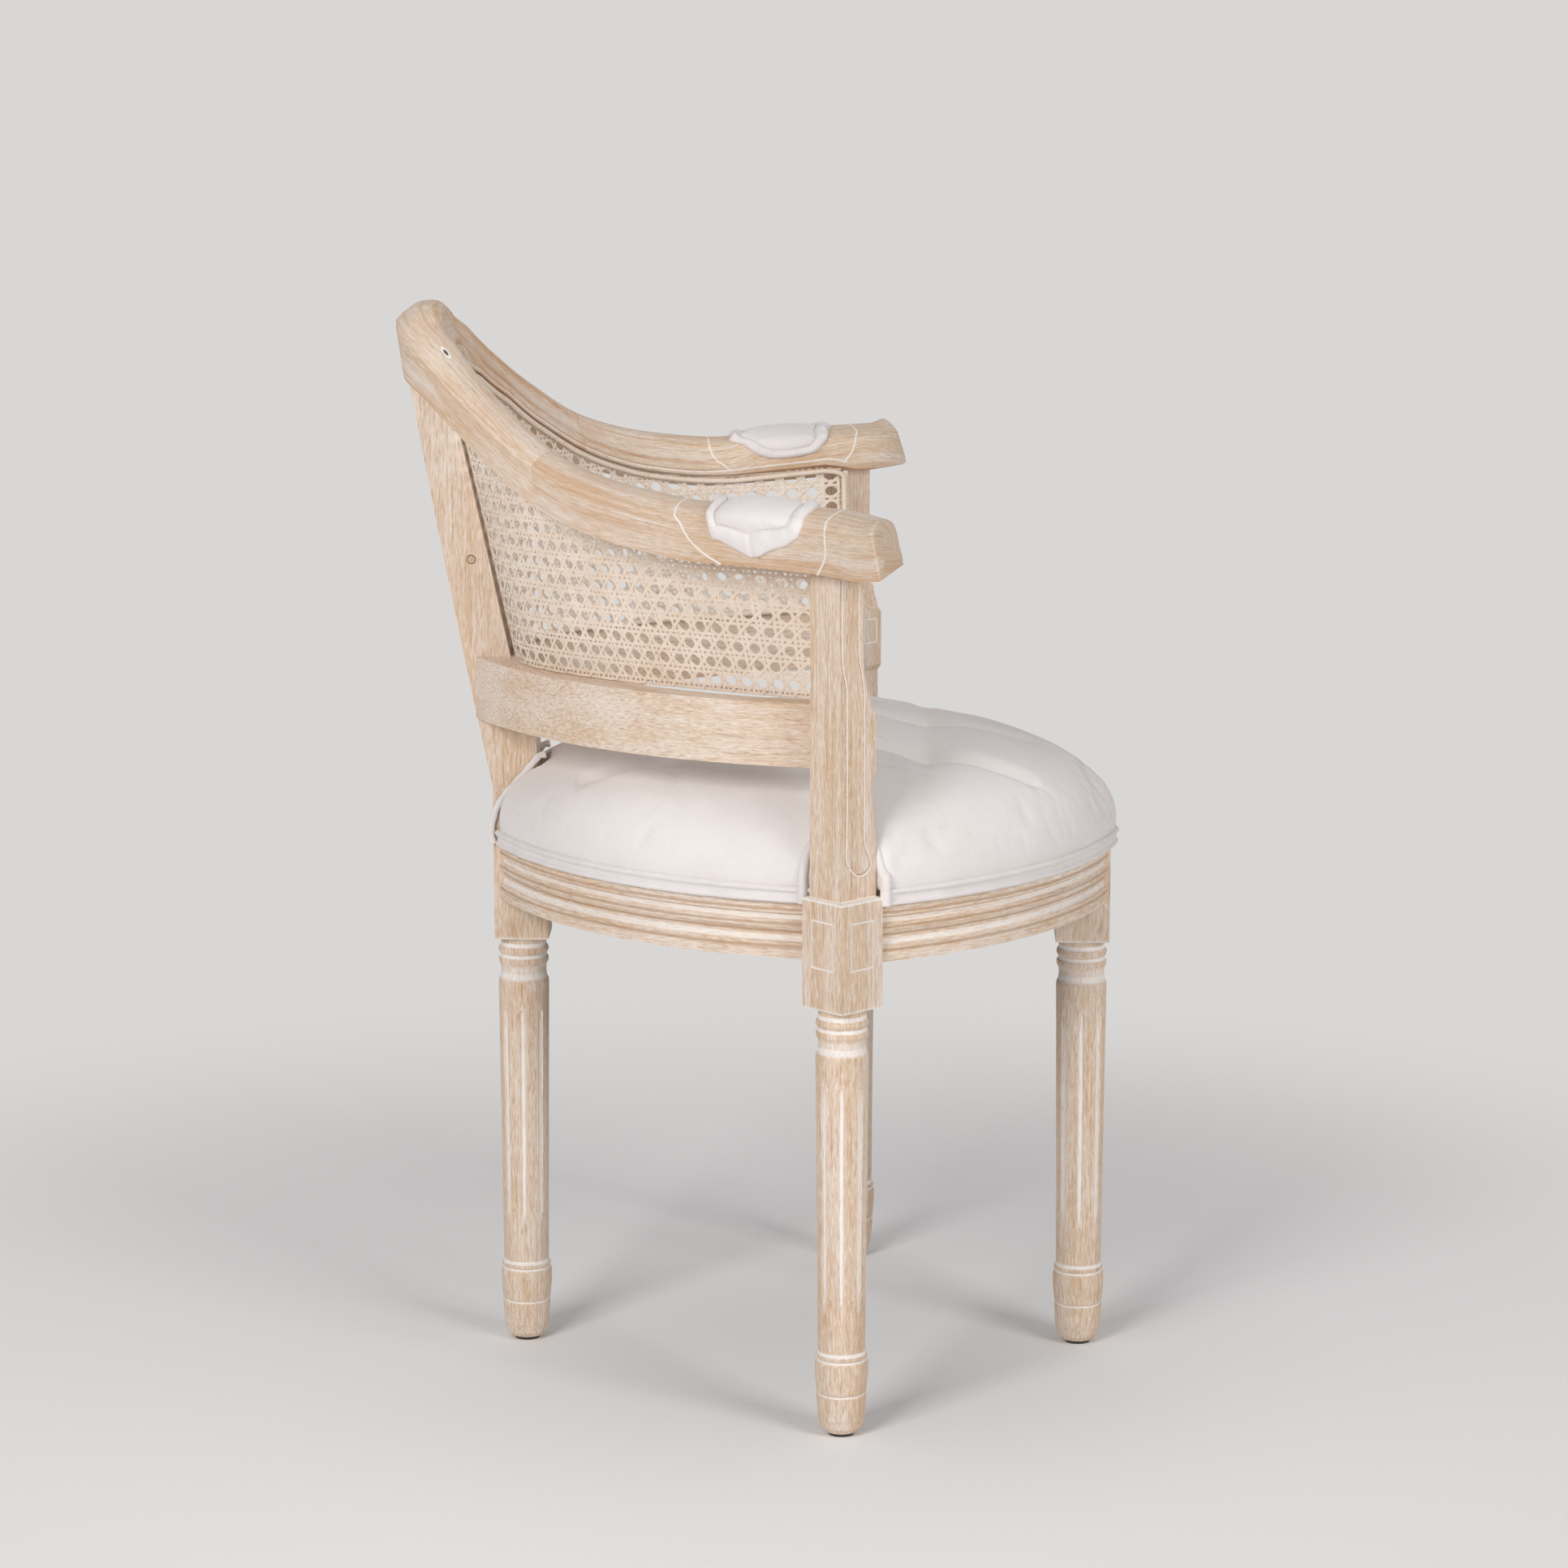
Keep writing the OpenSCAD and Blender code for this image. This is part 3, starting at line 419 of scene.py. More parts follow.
def wood(name, coords="z", centre=(0, 0), radius=1.0, seed=0.0, groove=None, lime=0.5, warm=0.3, shade=1.0,
         brown=None, mark=None):
    """Limed open-grained wood. coords says which way the grain runs: up, round centre or along the UV
    map. lime and warm give its tone, and the share after them, when under 1, darkens it with painted
    shade; groove and brown give 0 to 1 where white wax or a brown line lies in the carving, and mark
    the distance from a nail hole."""
    k = Nodes(name)
    x, y, z = k.parts(k.place())
    if coords == "uv":
        along, a, _ = k.parts(k.add("TexCoord").outputs["UV"])
        b = 0.0
    elif coords == "z":
        along, a, b = z, x, y
    elif coords == "arc":
        turn = k.math("ARCTAN2", k.minus(y, centre[1] * MM), k.minus(x, centre[0] * MM))
        along, a, b = k.mul(turn, radius * MM), z, radial(k, x, y, *centre)
    run, along = along, k.plus(along, seed)

    def grain(long_scale, wide_scale, detail, rough):
        stretched = k.vec(k.mul(along, long_scale), k.mul(a, wide_scale), k.mul(b, wide_scale))
        return k.noise(stretched, 1.0, detail, rough)

    a = k.plus(a, k.mul(k.minus(grain(8.0, 16.0, 2.0, 0.5), 0.5), 0.008))  # the grain wanders
    figure = grain(3.0, 48.0, 2.0, 0.5)
    lines = grain(9.0, 560.0, 3.0, 0.62)
    ticks = grain(105.0, 980.0, 2.0, 0.6)
    cloud = grain(9.0, 20.0, 3.0, 0.6)
    base = k.blend(k.span(figure, 0.36, 0.64), PALE, TAN)
    for v, lo, hi, much, colour in ((cloud, 0.50, 0.72, warm, HONEY), (lines, 0.52, 0.70, 0.54, DARK),
                                    (lines, 0.48, 0.32, 0.40, LIME), (cloud, 0.55, 0.30, lime, LIME),
                                    (ticks, 0.54, 0.67, 0.52, DARK), (ticks, 0.46, 0.33, 0.50, WHITE_WAX)):
        base = k.tone(base, v, lo, hi, much, colour)
    if brown is not None:
        base = k.blend(k.mul(brown(k, z), 0.7, limit=True), base, BROWN_LINE)
    if groove is not None:
        ragged = k.plus(0.70, k.mul(k.span(ticks, 0.6, 0.4), 0.30))
        base = k.blend(k.mul(groove(k, x, y, z), ragged, limit=True), base, WHITE_WAX)
    if coords == "uv":
        base = k.tone(base, grain(7.0, 95.0, 3.0, 0.6), 0.50, 0.68, 0.55, STAIN)
        base = k.tone(base, grain(11.0, 150.0, 3.0, 0.65), 0.54, 0.70, 0.55, LIME)
        # worn arrises, but not at the ends by the joints
        ridge = k.span(k.add("NewGeometry").outputs["Pointiness"], 0.515, 0.56)
        ridge = k.mul(ridge, k.span(run, 0.10, 0.14))
        base = k.blend(k.mul(ridge, k.plus(0.25, k.mul(cloud, 0.5))), base, WORN)
    if mark is not None:
        r = mark(k, x, y, z)
        base = k.blend(k.span(r, 1.0, 0.75), base, WHITE_WAX)
        base = k.blend(k.span(r, 0.55, 0.35), base, NAIL_HOLE)
    # painted shade: a dark brown mixed over the whole piece where it catches more lamp light than it should
    if shade != 1.0:
        base = k.blend(1.0 - shade, base, SHADED)
    relief = k.minus(k.mul(ticks, -0.7), k.mul(lines, 0.9))
    return k.done(base, k.plus(0.54, k.mul(lines, 0.2)), 0.32, k.bump(relief, 0.45, 0.0004))


NAIL_AT, NAIL_SIZE = (3.29, 9.08), (7.5, 3.2)  # station and place round the section; half length and width


def nail_mark(k, x, y, z):
    """Distance from a filled nail hole in the crest, 1 at the rim of its white filling."""
    a, b = (section_point(NAIL_AT[0] + e, NAIL_AT[1]) for e in (-0.15, 0.15))
    centre, way = (a + b) / 2, (b - a) / np.linalg.norm(b - a)
    d = [k.minus(v, c * MM) for v, c in zip((k.mul(x, -1.0), y, z), centre)]

    def dot(p, q):
        return k.plus(k.plus(k.mul(p[0], q[0]), k.mul(p[1], q[1])), k.mul(p[2], q[2]))

    u = dot(d, way)
    across = k.math("DIVIDE", k.minus(dot(d, d), k.mul(u, u)), (NAIL_SIZE[1] * MM) ** 2)
    u = k.math("DIVIDE", u, NAIL_SIZE[0] * MM)
    return k.math("POWER", k.plus(k.mul(u, u), across), 0.5)


def radial(k, x, y, cx, cy):
    return k.length(k.minus(x, cx * MM), k.minus(y, cy * MM))


def band(k, v, lo, hi, soft):
    """1 between lo and hi, in mm."""
    return k.mul(k.span(v, (lo - soft) * MM, lo * MM), k.span(v, hi * MM, (hi + soft) * MM, 1.0, 0.0))


FLUTES, FLUTE_LOW, FLUTE_TOP, FLUTE_TAPER, FLUTE_HALF = 8, 94, 278, 28, 0.0012  # the last in metres
LEG_RINGS = ((32.4, 33.4, 0.6, 0.85), (58.8, 60.0, 0.6, 1.0), (64.0, 65.8, 0.7, 1.1), (296.5, 299.0, 3.0, 0.95),
             (299.0, 304.0, 4.0, 0.45), (312.6, 314.3, 0.9, 1.2), (321.6, 323.8, 0.9, 1.2),
             (328.4, 329.6, 1.8, 0.6))  # from, to and softness, mm, and how white


def leg_groove(cx, cy, side=0):
    """White wax in the flutes, in the turned grooves and, on a side leg, in the incised panels."""
    def groove(k, x, y, z):
        dx, dy = k.minus(x, cx * MM), k.minus(y, cy * MM)
        # flutes: a thin line down each, running out to a point at both ends
        turn = k.mul(k.math("ARCTAN2", dy, dx), FLUTES / (2 * math.pi))
        off = k.math("ABSOLUTE", k.minus(k.math("FRACT", k.plus(turn, FLUTES + 0.5)), 0.5))
        reach = k.mul(k.mul(off, 2 * math.pi / FLUTES), radial(k, x, y, cx, cy))
        taper = k.math("MINIMUM", k.span(z, FLUTE_LOW * MM, (FLUTE_LOW + FLUTE_TAPER) * MM),
                       k.span(z, FLUTE_TOP * MM, (FLUTE_TOP - FLUTE_TAPER) * MM))
        inside = k.minus(k.mul(taper, FLUTE_HALF), reach)
        total = k.mul(k.mul(k.span(inside, -0.0003, 0.0003), band(k, z, FLUTE_LOW, FLUTE_TOP, 0.5)), 1.15)
        haze = k.mul(k.span(inside, -0.0030, 0.0), band(k, z, FLUTE_LOW + 6, FLUTE_TOP - 6, 4))
        total = k.most(total, k.mul(haze, 0.40))
        for lo, hi, soft, much in LEG_RINGS:
            total = k.most(total, k.mul(band(k, z, lo, hi, soft), much))
        if side:
            sx = k.mul(dx, side)
            la, lb = k.mul(k.plus(sx, dy), SQRT_HALF), k.mul(k.minus(sx, dy), SQRT_HALF)
            one, two = (k.mul(band(k, p, 19.8, 20.85, 0.05), k.span(q, 15 * MM, 13 * MM))
                        for p, q in ((la, lb), (lb, la)))
            total = k.most(total, k.mul(k.mul(k.most(one, two), band(k, z, 358, 399, 0.5)), 1.35))
            total = k.most(total, k.mul(band(k, z, 410.4, 412.6, 0.4), 0.95))
        return total
    return groove


def rail_groove(k, x, y, z):
    """Lime in the two coves of the seat rails' moulding."""
    return k.most(k.mul(band(k, z, 375.5, 378.0, 1.6), 0.85), k.mul(band(k, z, 392.0, 394.0, 1.4), 0.8))


def rail_brown(k, z):
    """Brown left along the arrises of the coves."""
    total = band(k, z, 370.2, 371.2, 1.2)
    for lo in (381.6, 387.6, 398.6):
        total = k.most(total, band(k, z, lo, lo + 0.9, 1.1))
    return k.mul(total, 0.8)


LEGS = {"front_leg": (0, FRONT_Y, 0), "back_leg": (0, BACK_Y, 0),
        "left_leg_post": (-SIDE_X, SIDE_Y, -1), "right_leg_post": (SIDE_X, SIDE_Y, 1)}
RAILS = {"front_left_rail": (-1, FRONT_CENTRE), "front_right_rail": (1, FRONT_CENTRE),
         "back_left_rail": (-1, BACK_CENTRE), "back_right_rail": (1, BACK_CENTRE)}


def finish_node(n, material):
    for s in nodes[n].material_slots:
        s.material = material


for i, (n, (cx, cy, side)) in enumerate(LEGS.items()):
    finish_node(n, wood("limed_" + n, "z", seed=0.37 * i, groove=leg_groove(cx, cy, side), lime=0.15,
                        warm=0.40))
for i, (n, (side, (cx, cy))) in enumerate(RAILS.items()):
    finish_node(n, wood("limed_" + n, "arc", (-side * cx, cy), SEAT_RADIUS, 0.8 + 0.4 * i, rail_groove, 0.35,
                        0.2, brown=rail_brown))
for i, n in enumerate(("back_stile", "left_back_rail", "right_back_rail")):
    finish_node(n, wood("limed_" + n, "arc" if n.endswith("rail") else "z", (0, -70), 240.0, 2.1 + 0.5 * i,
                        None, 0.45, 0.25))


def plug_finish():
    """End grain in a dark glue ring."""
    k = Nodes("plug_end_grain")
    place = k.place()
    _, y, z = k.parts(place)
    ring = k.span(radial(k, y, z, PLUG_Y, PLUG_Z), 2.6 * MM, 3.1 * MM)
    core = k.noise(place, 900.0, 2.0, 0.6)
    base = k.blend(k.span(core, 0.3, 0.7), hexrgb(214, 190, 166), hexrgb(190, 158, 128))
    return k.done(k.blend(ring, base, hexrgb(128, 92, 62)), 0.7)


finish_node("stile_plug", plug_finish())
BACKDROP = hexrgb(217, 215, 213)


def seen_ray(tree):
    """1 for rays from the eye, straight, by a mirror or through glass."""
    rays = tree.nodes.new("ShaderNodeLightPath").outputs
    total = rays["Is Camera Ray"]
    for kind in ("Is Glossy Ray", "Is Transmission Ray"):
        either = tree.nodes.new("ShaderNodeMath")
        either.operation = "MAXIMUM"
        tree.links.new(total, either.inputs[0])
        tree.links.new(rays[kind], either.inputs[1])
        total = either.outputs[0]
    return total


def mix_shaders(tree, share, one, two, out):
    both = tree.nodes.new("ShaderNodeMixShader")
    for source, socket in zip((share, one, two), both.inputs):
        tree.links.new(source, socket)
    tree.links.new(both.outputs[0], out)


def floor_finish():
    """Pale matt floor that runs out into the plain ground behind it."""
    k = Nodes("pale_floor")
    place = k.place()
    x, y, _ = k.parts(place)
    glow = k.add("Emission")
    glow.inputs[0].default_value = BACKDROP
    glow.inputs[1].default_value = 1.0
    share = k.mul(k.span(radial(k, x, y, 0, 0), 0.35, 1.25), seen_ray(k.t))
    mix_shaders(k.t, share, k.bsdf.outputs[0], glow.outputs[0], k.out.inputs[0])
    return k.done(k.blend(k.noise(place, 1.5, 3.0), hexrgb(247, 245, 243), hexrgb(250, 248, 246)), 0.9, 0.1)


stage_material = floor_finish()


# crest and arms, lofted finer than the solids, with the grain along them
def fine_shares(t, count=3):
    rows = shares_at(t)
    out = []
    for i in range(len(rows) - 1):
        for j in range(count):
            out.append(spline(rows, i + j / count) if 0 < i < len(rows) - 2 else
                       mix(rows[i], rows[i + 1], j / count))
    out.append(rows[-1])
    return out


def rail_ring(t, mirrored=False, shrink=1.0, ahead=0.0):
    c, w = on_section(t, MIDDLE), line_way(t)
    ring = [mix(c, on_section(t, s), shrink) + ahead * np.array([w[0], w[1], 0]) for s in fine_shares(t)]
    return [p * [-1, 1, 1] for p in ring] if mirrored else ring


def rail_uv(rings, grid):
    """Metres along the rail and round its section."""
    rings = [np.array(r) for r in rings]
    mids = [r.mean(axis=0) for r in rings]
    along = [0.0]
    for a, b in zip(mids, mids[1:]):
        along.append(along[-1] + np.linalg.norm(b - a) * MM)
    across = []
    for r in rings:
        d = np.linalg.norm(np.roll(r, -1, axis=0) - r, axis=1) * MM
        across.append(np.concatenate([[0.0], np.cumsum(d)]))
    out = []
    for f in grid:
        row = []
        for i, j in f:
            if j < 0:
                row.append((along[i] + 0.02, 0.03))
            else:
                row.append((along[i], across[i][j]))
        out.append(row)
    return out


def rail_piece(name, rings, material, side=1):
    pts, faces, grid = loft(rings)
    return make(name, pts, faces, material, 32, rail_uv(rings, grid), side)


STEPS = 9  # rings between two stations
TIP_ROUND = [(0.995, 0.5), (0.985, 1.2), (0.965, 1.9), (0.93, 2.5), (0.88, 3.0)]  # size, and mm ahead
crest_ts = [k / STEPS for k in range(int(JOINT_AT) * STEPS + 1)]
arm_ts = [JOINT_AT + k / STEPS for k in range(int(TIP_AT - JOINT_AT) * STEPS + 1)]
crest_rings = [rail_ring(t, True) for t in crest_ts[:0:-1]] + [rail_ring(t) for t in crest_ts]
arm_rings = [rail_ring(t) for t in arm_ts] + [rail_ring(TIP_AT, False, k, d) for k, d in TIP_ROUND]
crest_wood = wood("limed_crest", "uv", seed=3.1, lime=0.22, warm=0.6, mark=nail_mark)
settle(rail_piece("crest", crest_rings, crest_wood), "crest_rail", slot="limed_wood")
for side, word in SIDES:
    # the left arm, nearer the key lamp, gets painted shade
    arm_wood = wood("limed_%s_arm" % word, "uv", seed=5.3 + side, lime=0.3, warm=0.7,
                    shade=0.91 if side < 0 else 1.0)
    settle(rail_piece(word + "_arm_rail", arm_rings, arm_wood, side), word + "_arm", slot="limed_wood")


# woven cane: pairs both ways and a diagonal each way, over and under
def cane_low(t):
    s = mix(CANE_SHARES[0], CANE_SHARES[1], t) if t <= 1 else spline(CANE_SHARES, t)
    return np.array([s[0] * CANE_SIDE_X, CANE_SIDE_Y + (CANE_BACK_Y - CANE_SIDE_Y) * s[1], LOW_RAIL_TOP + 0.1])


def cane_high(t):
    n = line_in(t)
    u = width_at(t) - CANE_INSET
    p = line_at(t)
    rise = inner_rise(t) * u / (0.97 * width_at(t))
    return np.array([p[0] + n[0] * u, p[1] + n[1] * u, p[2] + rise - 0.1])


class Cane:
    """The leaning sheet of the back, by arc length from the middle and height."""

    def __init__(self):
        ts = np.linspace(0, POST_AT, 331)
        low = np.array([cane_low(t) for t in ts])
        high = np.array([cane_high(t) for t in ts])
        way = np.array([line_in(t) for t in ts])
        arc = np.concatenate([[0], np.cumsum(np.linalg.norm(np.diff(low, axis=0), axis=1))])
        flip = np.array([-1, 1, 1])
        self.arc = np.concatenate([-arc[:0:-1], arc])
        self.low = np.vstack([(low * flip)[:0:-1], low])
        self.high = np.vstack([(high * flip)[:0:-1], high])
        self.way = np.vstack([(way * [-1, 1])[:0:-1], way])

    def pick(self, rows, s):
        return np.stack([np.interp(s, self.arc, column) for column in rows.T], axis=-1)

    def at(self, s, z, depth=0.0):
        low, high, way = self.pick(self.low, s), self.pick(self.high, s), self.pick(self.way, s)
        k = (z - low[..., 2]) / (high[..., 2] - low[..., 2])
        p = low + (high - low) * k[..., None]
        p[..., :2] += np.asarray(depth)[..., None] * way
        return p

    def top(self, s):
        return np.interp(s, self.arc, self.high[:, 2])

    def inside(self, s, z):
        p = self.at(s, z)
        _, b = to_post(np.abs(p[..., 0]), p[..., 1])
        return (z >= LOW_RAIL_TOP + 0.1) & (z <= self.top(s)) & (b >= POST_BACK + 0.4)


cane = Cane()
PITCH, PAIR = 12.7, 1.72  # between pairs, and from a pair's middle to each strand
STRAND, SLANT, SWING = 2.05, 2.0, 0.42  # widths of straight and diagonal strands, and how far they weave
CANE_BASE_Z = LOW_RAIL_TOP + 3.3
STRAND_SECTION = ((-0.5, 0.0), (-0.32, 0.3), (0.32, 0.3), (0.5, 0.0), (0.0, -0.28))  # of the width, and mm


def strand(start, end, width, swing, phase, wavelength, lift=0.0):
    """A flat strand in the sheet from (s, z) to (s, z); only the stretches inside the sheet are kept."""
    start, end = np.array(start), np.array(end)
    length = np.linalg.norm(end - start)
    n = max(int(length / 1.9), 2)
    d = np.linspace(0, 1, n + 1)
    line = start + (end - start) * d[:, None]
    ok = cane.inside(line[:, 0], line[:, 1])
    across = np.array([-(end - start)[1], (end - start)[0]]) / length
    out = []
    for i, j in stretches(ok):
        if j - i < 2:
            continue
        q = line[i:j + 1]
        depth = swing * np.cos(2 * math.pi * d[i:j + 1] * length / wavelength + phase) + lift
        ring = []
        for aside, thick in STRAND_SECTION:
            w = q + across * aside * width
            ring.append(cane.at(w[:, 0], w[:, 1], depth + thick))
        m, last = len(ring), (len(q) - 1) * len(ring)
        faces = [(a + b, a + m + b, a + m + (b + 1) % m, a + (b + 1) % m)
                 for a in range(0, last, m) for b in range(m)]
        faces += [tuple(range(m)), tuple(range(last + m - 1, last - 1, -1))]
        out.append((np.stack(ring, axis=1).reshape(-1, 3), faces))
    return out


def weave():
    parts = []
    reach_s = cane.arc[-1]
    top_z = cane.high[:, 2].max()
    columns = int(reach_s / PITCH) + 1
    rows = int((top_z - CANE_BASE_Z) / PITCH) + 1

    def pair(i, start, end, shift):
        for k in (-1, 1):
            aside = np.array(shift) * k * PAIR
            yield from strand(start + aside, end + aside, STRAND, SWING, 0 if (i + (k > 0)) % 2 else math.pi,
                              PITCH * 2)

    for i in range(-columns, columns + 1):
        s = (i + 0.5) * PITCH
        parts += pair(i, (s, LOW_RAIL_TOP), (s, top_z), (1, 0))
    for j in range(rows + 1):
        z = CANE_BASE_Z + j * PITCH
        parts += pair(j, (-reach_s, z), (reach_s, z), (0, 1))
    height = top_z - LOW_RAIL_TOP
    for way, lift in ((1, 0.35), (-1, -0.35)):
        for i in range(-columns - rows - 2, columns + rows + 3):
            s = i * PITCH + (CANE_BASE_Z - LOW_RAIL_TOP) * -way
            parts += strand((s, LOW_RAIL_TOP), (s + way * height, top_z), SLANT, 0.25, i * math.pi,
                            PITCH * math.sqrt(2) * 2, lift)
    return parts


def cane_finish():
    k = Nodes("woven_cane")
    place = k.place()
    broad = k.noise(place, 22.0, 3.0)
    fine = k.noise(place, 900.0, 2.0, 0.6)
    spots = k.noise(place, 260.0, 2.0, 0.6)
    base = k.blend(k.span(broad, 0.3, 0.7), hexrgb(238, 222, 206), hexrgb(228, 208, 188))
    base = k.tone(base, spots, 0.55, 0.75, 0.45, hexrgb(204, 172, 144))
    base = k.tone(base, fine, 0.5, 0.7, 0.5, hexrgb(248, 240, 231))
    return k.done(base, k.plus(0.48, k.mul(spots, 0.2)), 0.4, k.bump(fine, 0.35, 0.0002))


cane_material = cane_finish()
settle(join("cane_weave", weave(), cane_material, 40), "cane_panel", slot="cane")


# the reed that holds the cane's edge
REED, REED_LIFT, REED_DEPTH = 2.0, 3.4, 3.2  # its radius, how far off the rails and off the sheet


def reed_path():
    end_t = POST_AT - 0.28

    def at(t, h):
        return mix(cane_low(t), cane_high(t), h) + REED_DEPTH * np.append(line_in(t), 0)

    def share(t):
        return REED_LIFT / (cane_high(t)[2] - cane_low(t)[2])

    ts = np.linspace(0, end_t - 0.12, 110)
    s = share(end_t)
    path = [at(t, share(t)) for t in ts]
    path += [at(end_t - 0.035, s + 0.008), at(end_t - 0.006, s + 0.026)]
    path += [at(end_t, h) for h in (0.06, 0.12, 0.3, 0.5, 0.7, 0.88, 0.94)]
    path += [at(end_t - 0.006, 1 - s - 0.026), at(end_t - 0.035, 1 - s - 0.008)]
    path += [at(t, 1 - share(t)) for t in ts[::-1]]
    return path


for side, word in SIDES:
    path = reed_path()
    up = [(p[0], p[1], 0) for p in path]
    reed = lofted(word + "_reed", tube(path, REED, 12, up=up), cane_material, 50, side)
    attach(reed, "root")
    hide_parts("cane_spline")


# lines on the arms, a bead each of white filling
def line_finish(name, scale, lo, hi, colour, patch_colour, relief=0.0):
    """The filling of a cut line, rubbed off in places; also the painted shadow beside one, broken up the same
    way.
    """
    k = Nodes(name)
    patches = k.noise(k.place(), scale, 3.0, 0.6)
    return k.done(k.blend(k.span(patches, lo, hi), colour, patch_colour), 0.7,
                  normal=k.bump(patches, relief, 0.0003) if relief else None)


paste = line_finish("white_line", 420.0, 0.58, 0.72, hexrgb(240, 232, 224), hexrgb(222, 200, 178), 0.4)
# painted shadow of the groove beside each white line on the posts, in brown
painted_groove_shadow = line_finish("carved_shadow", 300.0, 0.4, 0.65, hexrgb(188, 150, 118), hexrgb(212, 184, 158))
# place round the section against station, behind and in front of the pad; EDGE the other way about
BEFORE = [(0, 9.55), (0.33, 9.35), (1.67, 9.0), (4.5, 8.8), (8, 8.73), (11, 8.70), (12.3, 8.6), (16.4, 8.62),
          (19.4, 8.74), (22.4, 8.9)]
AFTER = [(0, 11.15), (1.3, 11.4), (3.3, 11.41), (5.3, 11.4), (9, 11.25), (11.3, 11.1), (14.6, 10.9),
         (19.2, 10.8), (22.6, 10.7)]
EDGE = [(1.0, 22.4), (8.0, 22.4), (9.2, 22.2), (10.3, 22.0), (10.62, 21.8), (10.72, 22.4)]


def surface_line(rows, radius=1.0, sink=0.55, count=70, along=False):
    """A thin bead on the rail; rows give places round the section with their stations, or with along
    the other way about."""
    rows = np.array(rows, float)
    steps = np.linspace(rows[0, 0], rows[-1, 0], count)
    other = np.interp(steps, rows[:, 0], rows[:, 1])
    for _ in range(3):
        other[1:-1] = (other[:-2] + 2 * other[1:-1] + other[2:]) / 4
    qs, ts = (other, steps) if along else (steps, other)
    path, up = [], []
    for q, t in zip(qs, ts):
        n = section_normal(t, q)
        path.append(section_point(t, q) - n * sink * 0.5)
        up.append(n)
    return tube(path, radius, 8, flat=0.62, up=up)


for side, word in SIDES:
    for rows, which in ((BEFORE, "back"), (AFTER, "front")):
        line = lofted("%s_arm_%s_line" % (word, which), surface_line(rows), paste, side=side)
        settle(line, slot="limed_wood")
    settle(lofted(word + "_edge_line", surface_line(EDGE, 0.8, 0.5, 260, True), paste, side=side),
           slot="limed_wood")


# heads of the posts, let up into the rising underside of the arms
def under_arm(p):
    """Height of the arm's underside over the point p, in mm."""
    ts = np.linspace(POST_AT - 2, TIP_AT, 121)
    best = min(ts, key=lambda t: abs((p[:2] - line_at(t)[:2]) @ line_way(t)))
    u = (p[:2] - line_at(best)[:2]) @ line_in(best)
    return ARM_Z + inner_rise(best) * clamp(u / (0.97 * width_at(best)))


def post_head(side, word):
    steps = 6
    rows = []
    for a in np.linspace(-0.315 * HALF_BLOCK, POST_OUTER, steps + 1):
        rows.append([np.array(from_post(a, q)) for q in np.linspace(-POST_FACE, POST_BACK, steps + 1)])
    pts = [np.append(p, ARM_Z - 0.5) for r in rows for p in r]
    pts += [np.append(p, max(ARM_Z + 0.1, under_arm(p) + 0.8)) for r in rows for p in r]
    n, top = steps + 1, (steps + 1) ** 2
    faces = []
    for i in range(steps):
        for j in range(steps):
            q = i * n + j
            faces.append((q, q + 1, q + n + 1, q + n))
            faces.append((top + q, top + q + n, top + q + n + 1, top + q + 1))
    for i in range(steps):
        for q, r in ((i * n, (i + 1) * n), ((i + 1) * n + steps, i * n + steps), (i + 1, i),
                     (steps * n + i, steps * n + i + 1)):
            faces.append((q, r, top + r, top + q))
    material = bpy.data.materials["limed_%s_leg_post" % word]
    settle(make(word + "_post_head", pts, faces, material, 30, side=side), slot="limed_wood")


for side, word in SIDES:
    post_head(side, word)


# linen
THREADS = 9800.0  # radians per metre


def linen_finish(name, seed=0.0, tint=1.0):
    """Off-white linen: fine threads both ways, slubs and a faint mottle."""
    k = Nodes(name)
    place = k.place()
    x, y, z = k.parts(place)
    u = k.plus(k.mul(x, 0.83), k.mul(y, 0.55))
    v = k.minus(k.mul(y, 0.83), k.mul(x, 0.55))
    warp = k.math("SINE", k.mul(k.plus(u, z), THREADS))
    weft = k.math("SINE", k.mul(k.minus(v, z), THREADS))

    def slubs(u_scale, v_scale, shift):
        stretched = k.vec(k.mul(k.plus(u, shift), u_scale), k.mul(v, v_scale), k.mul(z, 700.0))
        return k.noise(stretched, 1.0, 2.0, 0.6)

    light, dark = slubs(1600.0, 130.0, seed), slubs(130.0, 1600.0, 0.0)
    one, two = (hexrgb(*(tint * c for c in rgb)) for rgb in ((240, 234, 231), (232, 225, 222)))
    base = k.blend(k.span(k.noise(place, 9.0, 3.0), 0.3, 0.7), one, two)
    base = k.tone(base, light, 0.5, 0.75, 0.35, hexrgb(246, 241, 238))
    base = k.tone(base, dark, 0.5, 0.75, 0.30, hexrgb(216, 207, 202))
    k.bsdf.inputs["Sheen Weight"].default_value = 0.22
    k.bsdf.inputs["Sheen Roughness"].default_value = 0.45
    height = k.plus(k.mul(k.mul(warp, weft), 0.25), k.mul(k.plus(light, dark), 0.7))
    height = k.plus(height, k.mul(k.noise(place, 2400.0, 2.0, 0.7), 0.5))
    soft = k.bump(k.noise(place, 38.0, 3.0), 0.22, 0.003)
    return k.done(base, 0.88, 0.2, k.bump(height, 0.32, 0.0004, soft))


linen = linen_finish("seat_linen")
welt_linen = linen_finish("welt_linen", seed=0.3, tint=0.985)
pad_linen = linen_finish("pad_linen", seed=0.7)

